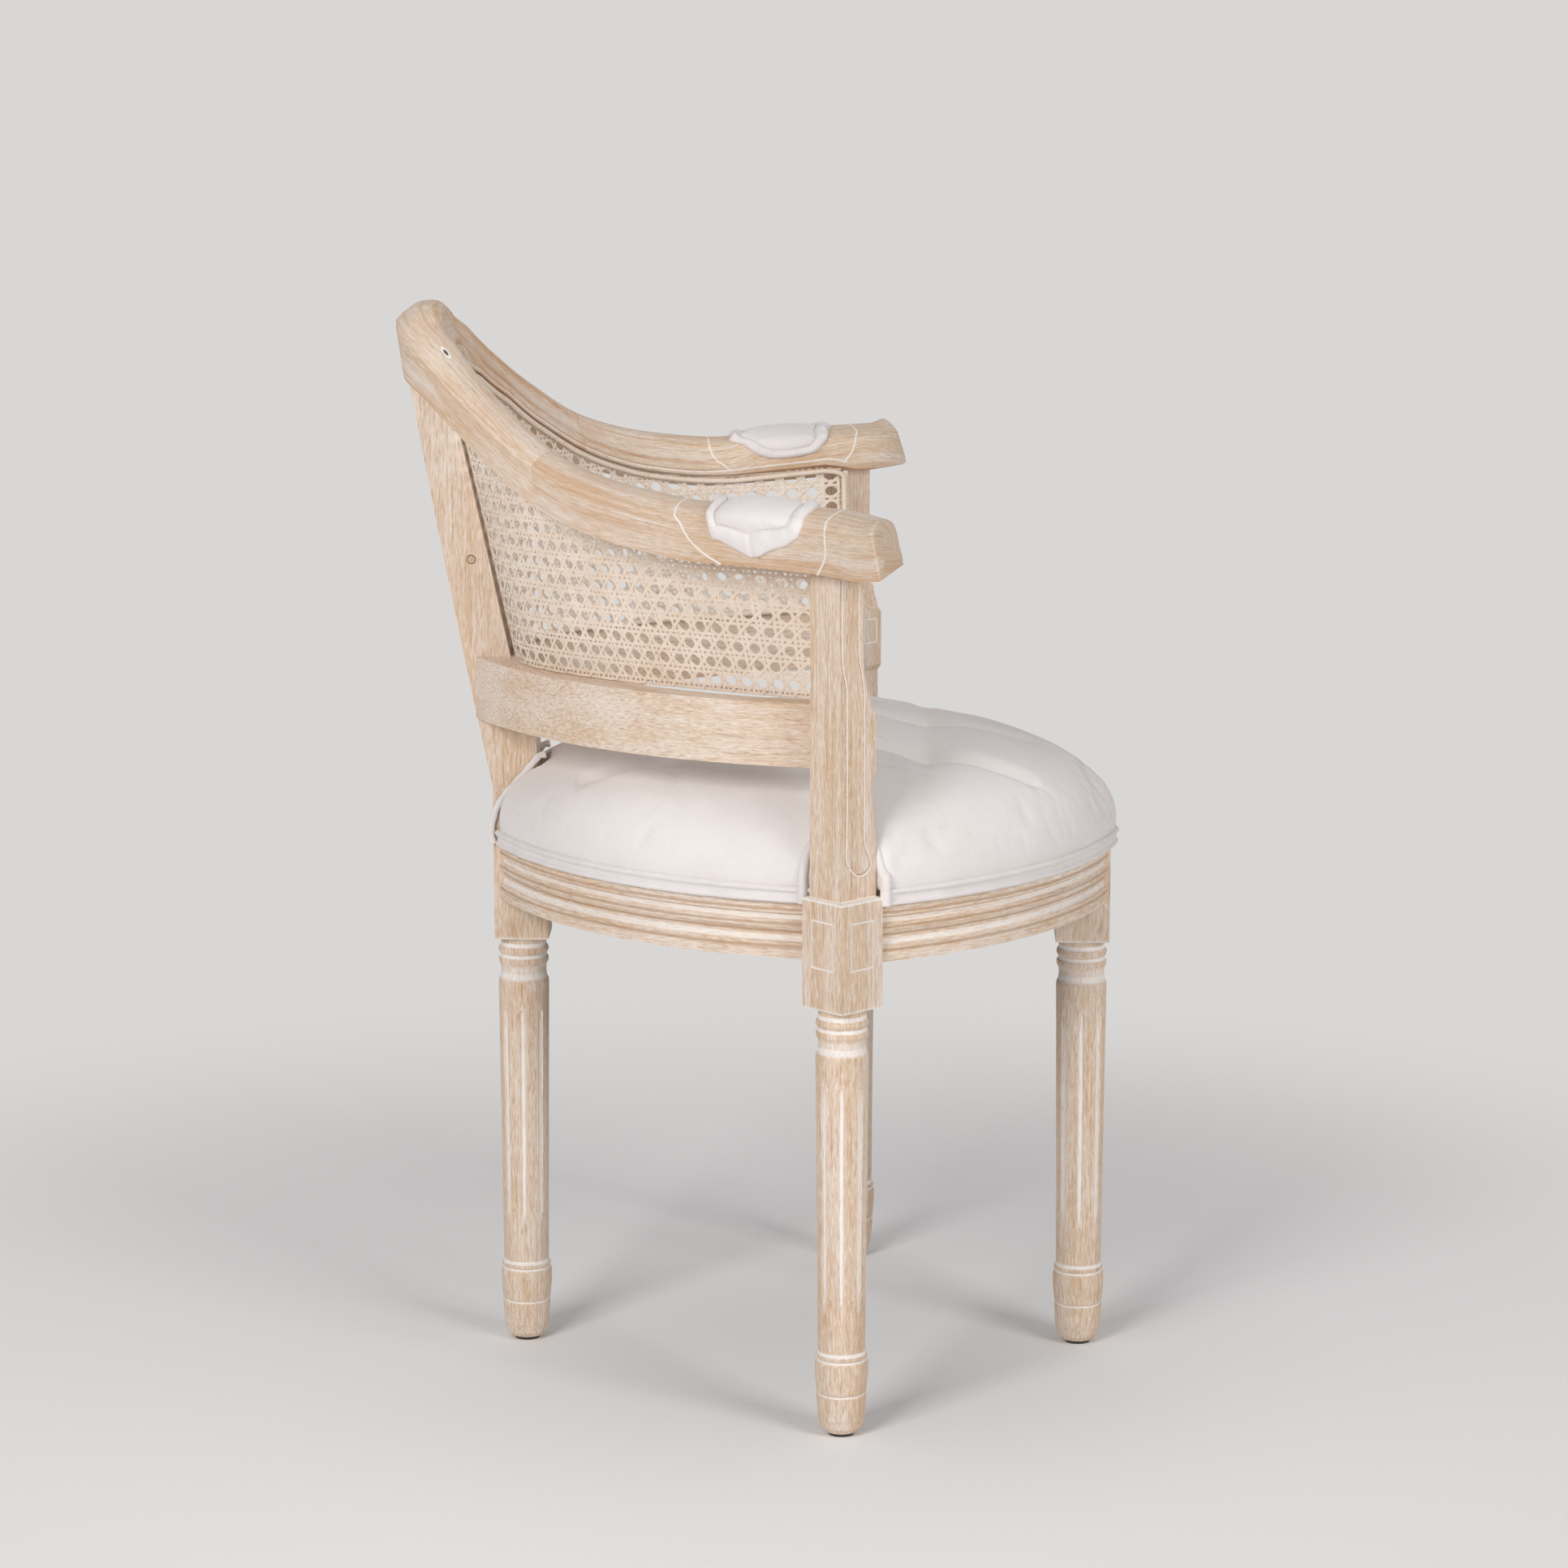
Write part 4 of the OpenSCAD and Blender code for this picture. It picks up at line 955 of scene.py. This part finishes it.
# the seat cushion: a crowned start shape, tufted, then blown up as cloth
RISE, START_DROP = 106.0, 5.0  # of the finished crown over the hem, and how much lower it starts
CUSHION = [(1.0, 0.095), (1.004, 0.13), (1.008, 0.22), (1.002, 0.34), (0.970, 0.47), (0.905, 0.60),
           (0.81, 0.705), (0.69, 0.80), (0.56, 0.875), (0.42, 0.935), (0.28, 0.975), (0.14, 0.995)]
START_Z, HELD_BELOW, TOP_FROM = 414.0, 420.0, 455.0  # heights: underside, end of the held rim, upper side
TUFT_PITCH, TUFT_DEPTH, TUFT_WIDTH, TUFT_HELD = 93.0, 13.0, 15.0, 5.5
FADE = 25.0  # mm over which the upper side begins
VOXEL = 0.0052
CROWN_FROM, CROWN, CAP = 440.0, 510.0, 24.0  # the crown's foot and its height; farthest move of the cloth
# cut-outs of the seat: two faces round a post in its own frame, and the stile's half width and face
NOTCH_A, NOTCH_B, NOTCH_X, NOTCH_Y = -21.6, 17.6, 21.7, 163.2
BOARD_TOP, BOARD_REACH = 424.0, 200.0


def tuft_cell(i, j):
    return SEAT_MIDDLE + TUFT_PITCH * np.array([i, j])


TUFTS = [tuft_cell(i, j) for i in (-1, 0, 1) for j in (-1, 0, 1)]


def notch_radius(a):
    """Radius at angle a where a cut-out begins."""
    dx, dy = abs(math.cos(a)), math.sin(a)
    best = 1e9
    if dx > abs(dy):
        behind = SEAT_MIDDLE[1] - SIDE_Y
        best = max((NOTCH_A * math.sqrt(2) + SIDE_X - behind) / (dx + dy),
                   (SIDE_X + behind - NOTCH_B * math.sqrt(2)) / (dx - dy))
    if dy > 0:
        r = (NOTCH_Y - SEAT_MIDDLE[1]) / dy
        if r * dx < NOTCH_X:
            best = min(best, r)
    return best


def cushion_edge(a, share, grow):
    r = min(share * seat_radius(a, grow), notch_radius(a))
    return SEAT_MIDDLE + r * np.array([math.cos(a), math.sin(a)])


def cushion_angles():
    a = list(np.linspace(0, 2 * math.pi, 180, endpoint=False))
    edge = math.atan2(NOTCH_Y - SEAT_MIDDLE[1], NOTCH_X)
    for c in (edge, math.pi - edge):
        a += [c + e for e in (-0.012, -0.006, -0.0006, 0.0006, 0.006, 0.012)]
    return sorted(a)


def keep_out(p):
    """Moves points, in mm, out of the posts' and the stile's cut-outs."""
    sign = np.where(p[:, 0] < 0, -1.0, 1.0)
    a, b = to_post(np.abs(p[:, 0]), p[:, 1])
    inside = (a > NOTCH_A) & (b < NOTCH_B)
    to_a = inside & ((a - NOTCH_A) < (NOTCH_B - b))
    to_b = inside & ~to_a
    x, y = from_post(np.where(to_a, NOTCH_A, a), np.where(to_b, NOTCH_B, b))
    at_back = (x < NOTCH_X) & (y > NOTCH_Y)
    side_on = at_back & ((NOTCH_X - x) < (y - NOTCH_Y))
    x = np.where(side_on, NOTCH_X, x)
    y = np.where(at_back & ~side_on, NOTCH_Y, y)
    return np.stack([x * sign, y, p[:, 2]], axis=1)


def vectors(items, key="co"):
    out = np.empty(len(items) * 3)
    items.foreach_get(key, out)
    return out.reshape(-1, 3)


def simulate(ob, pins, pressure, frames, stiffness, bending):
    """Points of the cloth blown up by the pressure for some frames, with the pins held."""
    group = ob.vertex_groups.new(name="held")
    group.add([int(i) for i in np.flatnonzero(pins)], 1.0, "REPLACE")
    cloth = ob.modifiers.new("cloth", "CLOTH")
    s = cloth.settings
    s.quality = 6
    s.mass = 0.25
    s.tension_stiffness = s.compression_stiffness = stiffness
    s.shear_stiffness = stiffness * 0.5
    s.bending_stiffness = bending
    s.use_pressure = True
    s.uniform_pressure_force = pressure
    s.effector_weights.gravity = 0
    s.vertex_group_mass = "held"
    cloth.collision_settings.use_collision = False
    scene = bpy.context.scene
    scene.frame_start, scene.frame_end = 1, frames
    cloth.point_cache.frame_start, cloth.point_cache.frame_end = 1, frames
    for f in range(1, frames + 1):
        scene.frame_set(f)
    got = vectors(ob.evaluated_get(bpy.context.evaluated_depsgraph_get()).data.vertices)
    ob.modifiers.remove(cloth)
    ob.vertex_groups.clear()
    scene.frame_set(1)
    return got


def write_points(me, p):
    me.vertices.foreach_set("co", np.asarray(p, float).ravel())
    me.update()


def apply_modifiers(ob):
    me = bpy.data.meshes.new_from_object(ob.evaluated_get(bpy.context.evaluated_depsgraph_get()))
    old = ob.data
    ob.modifiers.clear()
    ob.data = me
    bpy.data.meshes.remove(old)


def cushion_start():
    angles = cushion_angles()
    rows = [(0.5, -4.0, START_Z), (0.985, 0.0, START_Z)]
    rows += [(share, 2.0, HEM_Z + 0.3 + rise * (RISE - START_DROP)) for share, rise in CUSHION]
    pts, faces, _ = loft([[np.append(cushion_edge(a, share, grow), z) for a in angles]
                          for share, grow, z in rows])
    return make("cushion", pts, [f[::-1] for f in faces], linen)


def tuft_field(p):
    """Distance from the nearest tuft, in plan."""
    return np.min([np.linalg.norm(p[:, :2] - c, axis=1) for c in TUFTS], axis=0)


cushion = cushion_start()
remesh = cushion.modifiers.new("even", "REMESH")
remesh.mode = "VOXEL"
remesh.voxel_size = VOXEL
apply_modifiers(cushion)
p0 = vectors(cushion.data.vertices) / MM
top = np.clip((p0[:, 2] - TOP_FROM) / FADE, 0, 1)
near = tuft_field(p0)
p0[:, 2] -= top * TUFT_DEPTH * 1.15 * np.exp(-(near / TUFT_WIDTH) ** 2)
write_points(cushion.data, p0 * MM)
pins = (p0[:, 2] < HELD_BELOW) | ((near < TUFT_HELD) & (top > 0))
p1 = p0
move = simulate(cushion, pins, pressure=4.0, frames=20, stiffness=8.0, bending=0.6) / MM - p0
p1 = p0 + move * np.minimum(1, CAP / np.maximum(np.linalg.norm(move, axis=1), 1e-6))[:, None]
over = np.maximum(p1[:, 2] - CROWN_FROM, 0)
p1[:, 2] -= over * (1 - (CROWN - CROWN_FROM) / over.max())
write_points(cushion.data, p1 * MM)
sub = cushion.modifiers.new("finer", "SUBSURF")
sub.levels = sub.render_levels = 1
apply_modifiers(cushion)


def smooth_path(points, count):
    return [spline(points, t) for t in np.linspace(0, len(points) - 1, count)]


def ripple(p, a, b, depth, width):
    """A soft valley pulled down from a to b, in mm, fading at both ends."""
    a, b = np.array(a, float), np.array(b, float)
    d = b - a
    length = np.linalg.norm(d)
    u = (p[:, :2] - a) @ d / length
    v = np.abs((p[:, :2] - a) @ np.array([-d[1], d[0]]) / length)
    along = np.clip(u / length, 0, 1)
    fade = np.sqrt(np.clip(np.sin(math.pi * along), 0, 1)) * (u > 0) * (u < length)
    return -depth * fade * np.exp(-(v / width) ** 2)


p2 = vectors(cushion.data.vertices) / MM
lift = np.zeros(len(p2))
# valleys between the tufts and out from them, deep from front to back, shallow from side to side
for i in (-1, 0, 1):
    for j, k in ((-1.95, -1), (-1, 0), (0, 1), (1, 1.85)):
        lift += ripple(p2, tuft_cell(i, j), tuft_cell(i, k), 8.0, 8.5)
        lift += ripple(p2, tuft_cell(j, i), tuft_cell(k if j < 1 else 1.95, i), 1.8, 7.5)
for a, b, depth, width in (
        ((-96, -236), (-88, 120), 2.6, 3.2), ((-4, -240), (4, 150), 2.6, 3.2),
        ((-140, -150), (-128, 60), 1.8, 3.0), ((-4, -128), (-12, -214), 2.0, 2.6),
        ((89, -126), (70, -206), 2.0, 2.6), ((-95, -126), (-88, -200), 2.0, 2.6),
        ((-93, -124), (-52, -66), 2.0, 2.6), ((2, -33), (44, -90), 2.0, 2.6),
        ((-2, -126), (-40, -92), 2.0, 2.6), ((93, -34), (60, -74), 2.0, 2.6),
        ((0, 60), (-40, 20), 2.0, 2.6)):
    lift += ripple(p2, a, b, depth, width)
p2[:, 2] += lift * np.clip((p2[:, 2] - CROWN_FROM) / FADE, 0, 1)
write_points(cushion.data, p2 * MM)


def crease(me, p, path, depth, width):
    """A fold drawn in along a path of points, in mm, fading at both ends."""
    line = np.array(smooth_path(path, 60))
    d = np.linalg.norm(p[:, None, :] - line[None, :, :], axis=2)
    fade = np.sqrt(np.sin(math.pi * np.clip(d.argmin(axis=1) / (len(line) - 1), 0.02, 0.98)))
    sink = depth * fade * np.exp(-(d.min(axis=1) / width) ** 2)
    return p - vectors(me.vertex_normals, "vector") * sink[:, None]


for path, depth, width in (
        ([(-120, -205, 489), (-148, -222, 483), (-140, -238, 472), (-118, -253, 460), (-110, -265, 445),
          (-108, -271, 430)], 2.4, 4.0),
        ([(60, -212, 486), (20, -246, 474), (-30, -262, 462), (-52, -270, 448)], 2.0, 4.5),
        ([(-178, 40, 486), (-205, 62, 470), (-222, 66, 450)], 1.6, 4.0),
        ([(-190, -60, 484), (-214, -52, 468), (-228, -40, 452)], 1.4, 4.0),
        ([(178, 40, 486), (205, 62, 470), (222, 66, 450)], 1.6, 4.0),
        ([(120, -205, 489), (140, -236, 472), (112, -262, 446)], 2.0, 4.0)):
    p2 = crease(cushion.data, p2, path, depth, width)
p2 = keep_out(p2)
over_board = (p2[:, 2] < CROWN_FROM) & (np.linalg.norm(p2[:, :2] - SEAT_MIDDLE, axis=1) < BOARD_REACH)
p2[over_board, 2] = np.maximum(p2[over_board, 2], BOARD_TOP + 0.4)
write_points(cushion.data, p2 * MM)
cushion.data.shade_smooth()
cushion.data.materials.clear()
cushion.data.materials.append(linen)
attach(cushion, "root")
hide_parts("seat_cushion")

seat_tree = BVHTree.FromPolygons([Vector(v) for v in p2],
                                 [tuple(f.vertices) for f in cushion.data.polygons])


def seat_top(x, y, default):
    hit = seat_tree.ray_cast(Vector((x, y, 700)), Vector((0, 0, -1)))
    return hit[0].z if hit[0] else default


# hem band with a welt along each edge: how far out of the seat's plan, and height
HEM = [(-1.5, 404.6), (1.6, 404.6), (3.1, 404.8), (4.2, 405.6), (4.5, 406.7), (4.0, 407.8), (3.0, 408.5),
       (2.7, 409.4), (2.9, 411.2), (2.9, 412.6), (3.6, 413.3), (4.7, 414.0), (5.1, 415.2), (4.7, 416.4),
       (3.6, 417.2), (1.0, 417.6), (-1.5, 417.4)]


def hem_range():
    """Angles where the outline is free of the posts and the stile."""
    a = np.linspace(-math.pi, math.pi, 1441)
    return [(a[i], a[j]) for i, j in stretches([notch_radius(t) > seat_radius(t, 4.0) for t in a])]


def hem_pieces():
    """Rings of each run of the band; the run over the start of the angles is joined."""
    runs = hem_range()
    if abs(runs[0][0] + math.pi) < 0.01 and abs(runs[-1][1] - math.pi) < 0.01 and len(runs) > 1:
        runs = [(runs[-1][0], runs[0][1] + 2 * math.pi)] + runs[1:-1]
    for a0, a1 in runs:
        rings = []
        for t in np.linspace(a0, a1, max(int((a1 - a0) * 60), 4)):
            wave = 0.25 * math.sin(37 * t) + 0.18 * math.sin(61 * t + 1)
            rings.append([np.append(seat_edge(t, 1, g + (wave if g > 2.5 else 0)), z) for g, z in HEM])
        yield rings


for n, rings in enumerate(hem_pieces()):
    settle(lofted("hem_%d" % n, rings, welt_linen), slot="linen")


def post_point(side, a, b, z):
    x, y = from_post(a, b)
    return np.array([side * x, y, z])


def corner_welt(side, front):
    """Rolled edge of the cushion's cover where it is cut round an arm post."""
    fixed = NOTCH_A - 2.8 if front else NOTCH_B + 9.8

    def at(k):
        return post_point(side, fixed, k, 0) if front else post_point(side, k, fixed, 0)

    def radius(p):
        q = p[:2] - SEAT_MIDDLE
        return np.linalg.norm(q) - seat_radius(math.atan2(q[1], q[0]), 3.2)

    ks = np.linspace(NOTCH_B, -60, 300) if front else np.linspace(NOTCH_A, 60, 300)
    out = next((k for k in ks if radius(at(k)) > 0), ks[-1])
    path = [at(out) + [0, 0, z] for z in (405.4, 411, 418, 426)]
    for s in (0.10, 0.25, 0.45, 0.7, 1.0):
        x, y, _ = at(out + (ks[0] - out) * s)
        path.append(np.array([x, y, seat_top(x, y, 436) + 0.4]))
    return smooth_path(path, 50)


for side, word in SIDES:
    for front in (True, False):
        path = corner_welt(side, front)
        radii = [4.2 - 2.4 * smooth((i - 16) / 30) for i in range(len(path))]
        up = [(p[0], p[1] - SEAT_MIDDLE[1], 60) for p in path]
        name = "corner_welt_%s_%s" % (word, "front" if front else "back")
        settle(lofted(name, tube(path, radii, 12, up=up), welt_linen), slot="linen")


# flat rolled edges of the cover along the cut-out for the stile
STILE_EDGE = [(164.5, 477.0), (169.8, 475.6), (174.9, 469.5), (182.0, 461.2), (189.6, 452.8), (197.3, 443.8),
              (203.1, 434.1), (206.3, 423.8), (207.4, 414.7), (205.9, 406.0)]
for side, word in SIDES:
    path = smooth_path([(23.2, y, z) for y, z in STILE_EDGE], 60)
    radii = [2.7 + 0.25 * math.sin(0.9 * i) for i in range(len(path))]
    rings = tube(path, radii, 12, flat=0.55, up=[(1, 0, 0)] * len(path))
    settle(lofted(word + "_stile_welt", rings, welt_linen, side=side), slot="linen")

# arm pads, shaped over the crown of the arms: the outline by station and place round the section
PAD = [(9.0, 12.0), (9.15, 14.3), (9.30, 17.4), (9.55, 19.6), (9.8, 20.0), (10.25, 19.0), (10.6, 12.4),
       (10.75, 11.0), (10.85, 9.2), (10.95, 5.3), (10.9, 2.8), (10.7, 1.8), (10.4, 1.3), (10.15, 0.7),
       (9.95, 1.0), (9.6, 1.67), (9.45, 2.0), (9.35, 6.0), (9.25, 10.67)]
PAD_MIDDLE = np.array([9.95, 8.6])


def pad_outline(count):
    p = np.array(PAD + PAD[:1], float)
    seg = np.linalg.norm(np.diff(p * [8, 1], axis=0), axis=1)
    at = np.concatenate([[0], np.cumsum(seg)])
    n = len(PAD)
    out = []
    for d in np.linspace(0, at[-1], count, endpoint=False):
        i = min(int(np.searchsorted(at, d, "right")) - 1, n - 1)
        f = (d - at[i]) / seg[i]
        around = [PAD[(i + k) % n] for k in (-1, 0, 1, 2)]
        out.append(mix(mix(around[1], around[2], f), spline(around, 1 + f), 0.6))
    return np.array(out)


def over_arm(t, q, out):
    p = section_point(t, clamp(q / SECTION_END) * SECTION_END)
    c = on_section(t, MIDDLE)
    d = (p - c) / np.linalg.norm(p - c)
    return p + d * out


def pad_height(rho, phi, tip):
    """Height of the cover above the arm, in mm: a stuffed middle, a seam, and a rolled rim."""
    def turn(at):
        return math.atan2(math.sin(phi - at), math.cos(phi - at))

    middle = (2.6 + 2.6 * (1 - clamp(rho / 0.76) ** 2)) * (1 - clamp(rho / 0.76) ** 9) ** 0.5
    roll = 3.7 * math.sqrt(max(0, 1 - ((rho - 0.888) / 0.112) ** 2))
    fold = -1.7 * math.exp(-(turn(tip) / 0.03) ** 2) * clamp((rho - 0.78) / 0.05)
    knob = sum(h * math.exp(-(turn(at) / 0.10) ** 2) for at, h in ((0.0, 2.0), (2 * math.pi * 0.39, 1.6)))
    knob *= math.exp(-((rho - 0.91) / 0.05) ** 2)
    pucker = 0.40 * math.sin(11 * phi + 2.0 * math.sin(3 * phi)) * math.exp(-((rho - 0.68) / 0.08) ** 2)
    pucker += 0.30 * math.sin(23 * phi + 1.1) * math.exp(-((rho - 0.89) / 0.06) ** 2)
    return 0.7 + middle + roll + fold + knob + pucker


def pad_piece(side, word):
    edge = pad_outline(150)
    rho = np.concatenate([np.linspace(0.06, 0.68, 12), np.linspace(0.70, 0.82, 20), np.linspace(0.83, 0.97, 15),
                          [0.98, 0.99, 1.0]])
    tip = 2 * math.pi * edge[:, 1].argmin() / len(edge)
    rings = []
    for r in rho:
        ring = []
        for i, e in enumerate(edge):
            t, q = PAD_MIDDLE + r * (e - PAD_MIDDLE)
            ring.append(over_arm(t, q, pad_height(r, 2 * math.pi * i / len(edge), tip)))
        rings.append(ring)
    for r in (1.0, 0.6, 0.06):
        rings.append([over_arm(*(PAD_MIDDLE + r * (e - PAD_MIDDLE)), 0.25) for e in edge])
    ob = lofted(word + "_pad", rings, pad_linen, 70, side)
    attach(ob, "root")
    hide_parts(word + "_arm_pad")


for side, word in SIDES:
    pad_piece(side, word)


# white lines cut in the posts: down one side, round the loop and up the other
POST_LINE = [(14.4, 651.7), (14.3, 625), (14.2, 598), (12.6, 584), (9.8, 573), (9.2, 560), (9.0, 520),
             (8.9, 479.6), (9.6, 449.4), (8.6, 441), (5.4, 435.4), (-2.6, 429.4), (-11.2, 430.6), (-15.6, 436),
             (-14, 442), (-11.2, 447.4), (-9.4, 453), (-8.6, 458.9), (-8.6, 500), (-8.6, 545), (-8.4, 565),
             (-6.0, 580), (-3.2, 592), (-2.7, 602), (-2.5, 643.9)]
# a painted shadow beside it: a brown line along the groove
BESIDE_LINE = [(x + (1.7 if x > 0 else 1.2), z + (0 if z > 440 else 1.6)) for x, z in POST_LINE]


def post_line(side, rows, b, radius=0.7):
    path = smooth_path([post_point(side, a, b, z) for a, z in rows], 8 * len(rows))
    n = post_point(side, 0, -1, 0) - post_point(side, 0, 0, 0)
    n /= np.linalg.norm(n)
    return tube([p - n * 0.12 for p in path], radius, 8, flat=0.5, up=[n] * len(path))


def rectangle_line(side, a, b0, b1, z0, z1):
    n = post_point(side, -1, 0, 0) - post_point(side, 0, 0, 0)
    n /= np.linalg.norm(n)
    corner = [(b0, z0), (b1, z0), (b1, z1), (b0, z1)]
    path = []
    for p, q in zip(corner, corner[1:] + corner[:1]):
        path += [post_point(side, a, *mix(p, q, k)) for k in np.linspace(0, 1, 8, endpoint=False)]
    return tube(path, 0.7, 6, flat=0.5, up=[n] * len(path), closed=True)


for side, word in SIDES:
    settle(lofted(word + "_post_carved_line", post_line(side, POST_LINE, -POST_FACE), paste), slot="limed_wood")
    settle(lofted(word + "_post_carved_shadow_line", post_line(side, BESIDE_LINE, -POST_FACE, 0.6), painted_groove_shadow),
           slot="limed_wood")
    square = rectangle_line(side, -0.965 * HALF_BLOCK, -9, 5, 523.5, 543)
    settle(lofted(word + "_post_square_line", square, paste, caps=False), slot="limed_wood")


# inner pieces, glides and the cloth below
def plain_finish(name, colour, dark, rough, scale):
    """A plain surface with a little figure; scale stretches it along x, y and z."""
    k = Nodes(name)
    m = k.add("Mapping")
    k.put(m.inputs[0], k.place())
    m.inputs["Scale"].default_value = scale
    n = k.noise(m.outputs[0], 1.0, 4.0, 0.6)
    return k.done(k.blend(k.span(n, 0.3, 0.7), colour, dark), k.plus(rough, k.mul(n, 0.12)),
                  normal=k.bump(n, 0.3, 0.0005))


board = plain_finish("bare_wood", hexrgb(200, 168, 128), hexrgb(176, 140, 100), 0.6, (20, 180, 180))
for n in ("seat_board", "corner_braces", "dowels"):
    finish_node(n, board)
steel = plain_finish("screw_metal", hexrgb(150, 150, 150), hexrgb(110, 110, 112), 0.3, (300, 300, 300))
steel.node_tree.nodes["Principled BSDF"].inputs["Metallic"].default_value = 1.0
finish_node("brace_screws", steel)
finish_node("dust_cover", plain_finish("black_cloth", hexrgb(52, 50, 50), hexrgb(38, 37, 37), 0.85, (900,) * 3))
finish_node("glides", plain_finish("dark_plastic", hexrgb(70, 64, 60), hexrgb(50, 46, 44), 0.45, (260,) * 3))


# the camera, the floor and the light
cam_data = bpy.data.cameras.new("camera")
cam_data.lens = 120.0
cam_data.sensor_width = 36.0
camera = bpy.data.objects.new("camera", cam_data)
camera.location = (-4.0, -0.1237, 1.2318)
camera.rotation_euler = (math.pi / 2 - 0.193, 0, 0.026 - math.pi / 2)
bpy.context.scene.collection.objects.link(camera)
bpy.context.scene.camera = camera

floor = make("floor", [(9000 * x, 9000 * y, 0) for x, y in ((-1, -1), (1, -1), (1, 1), (-1, 1))],
             [(0, 1, 2, 3)], stage_material)


def lamp(name, place, target, size, power):
    """An area light, size metres square, turned to its target."""
    d = bpy.data.lights.new(name, "AREA")
    d.shape = "RECTANGLE"
    d.size = d.size_y = size
    d.energy = power
    ob = bpy.data.objects.new(name, d)
    ob.location = place
    way = np.array(target, float) - np.array(place, float)
    ob.rotation_euler = (math.acos(-way[2] / np.linalg.norm(way)), 0,
                         math.atan2(way[1], way[0]) - math.pi / 2)
    bpy.context.scene.collection.objects.link(ob)


lamp("key", (-2.9, 1.5, 2.1), (0, 0, 0.45), 1.3, 63)
lamp("side", (-2.5, -2.4, 2.0), (0, 0, 0.45), 1.3, 45)
lamp("top", (0.4, 0.2, 3.0), (0, 0, 0.3), 1.6, 7)

world = bpy.data.worlds.new("studio")
world.use_nodes = True
studio = world.node_tree
fill = studio.nodes["Background"]
fill.inputs[0].default_value = (0.95, 0.96, 1.0, 1)
fill.inputs[1].default_value = 0.30
plain = studio.nodes.new("ShaderNodeBackground")
plain.inputs[0].default_value = BACKDROP
plain.inputs[1].default_value = 1.0
mix_shaders(studio, seen_ray(studio), fill.outputs[0], plain.outputs[0], studio.nodes["World Output"].inputs[0])
bpy.context.scene.world = world
bpy.context.scene.view_settings.view_transform = "Standard"
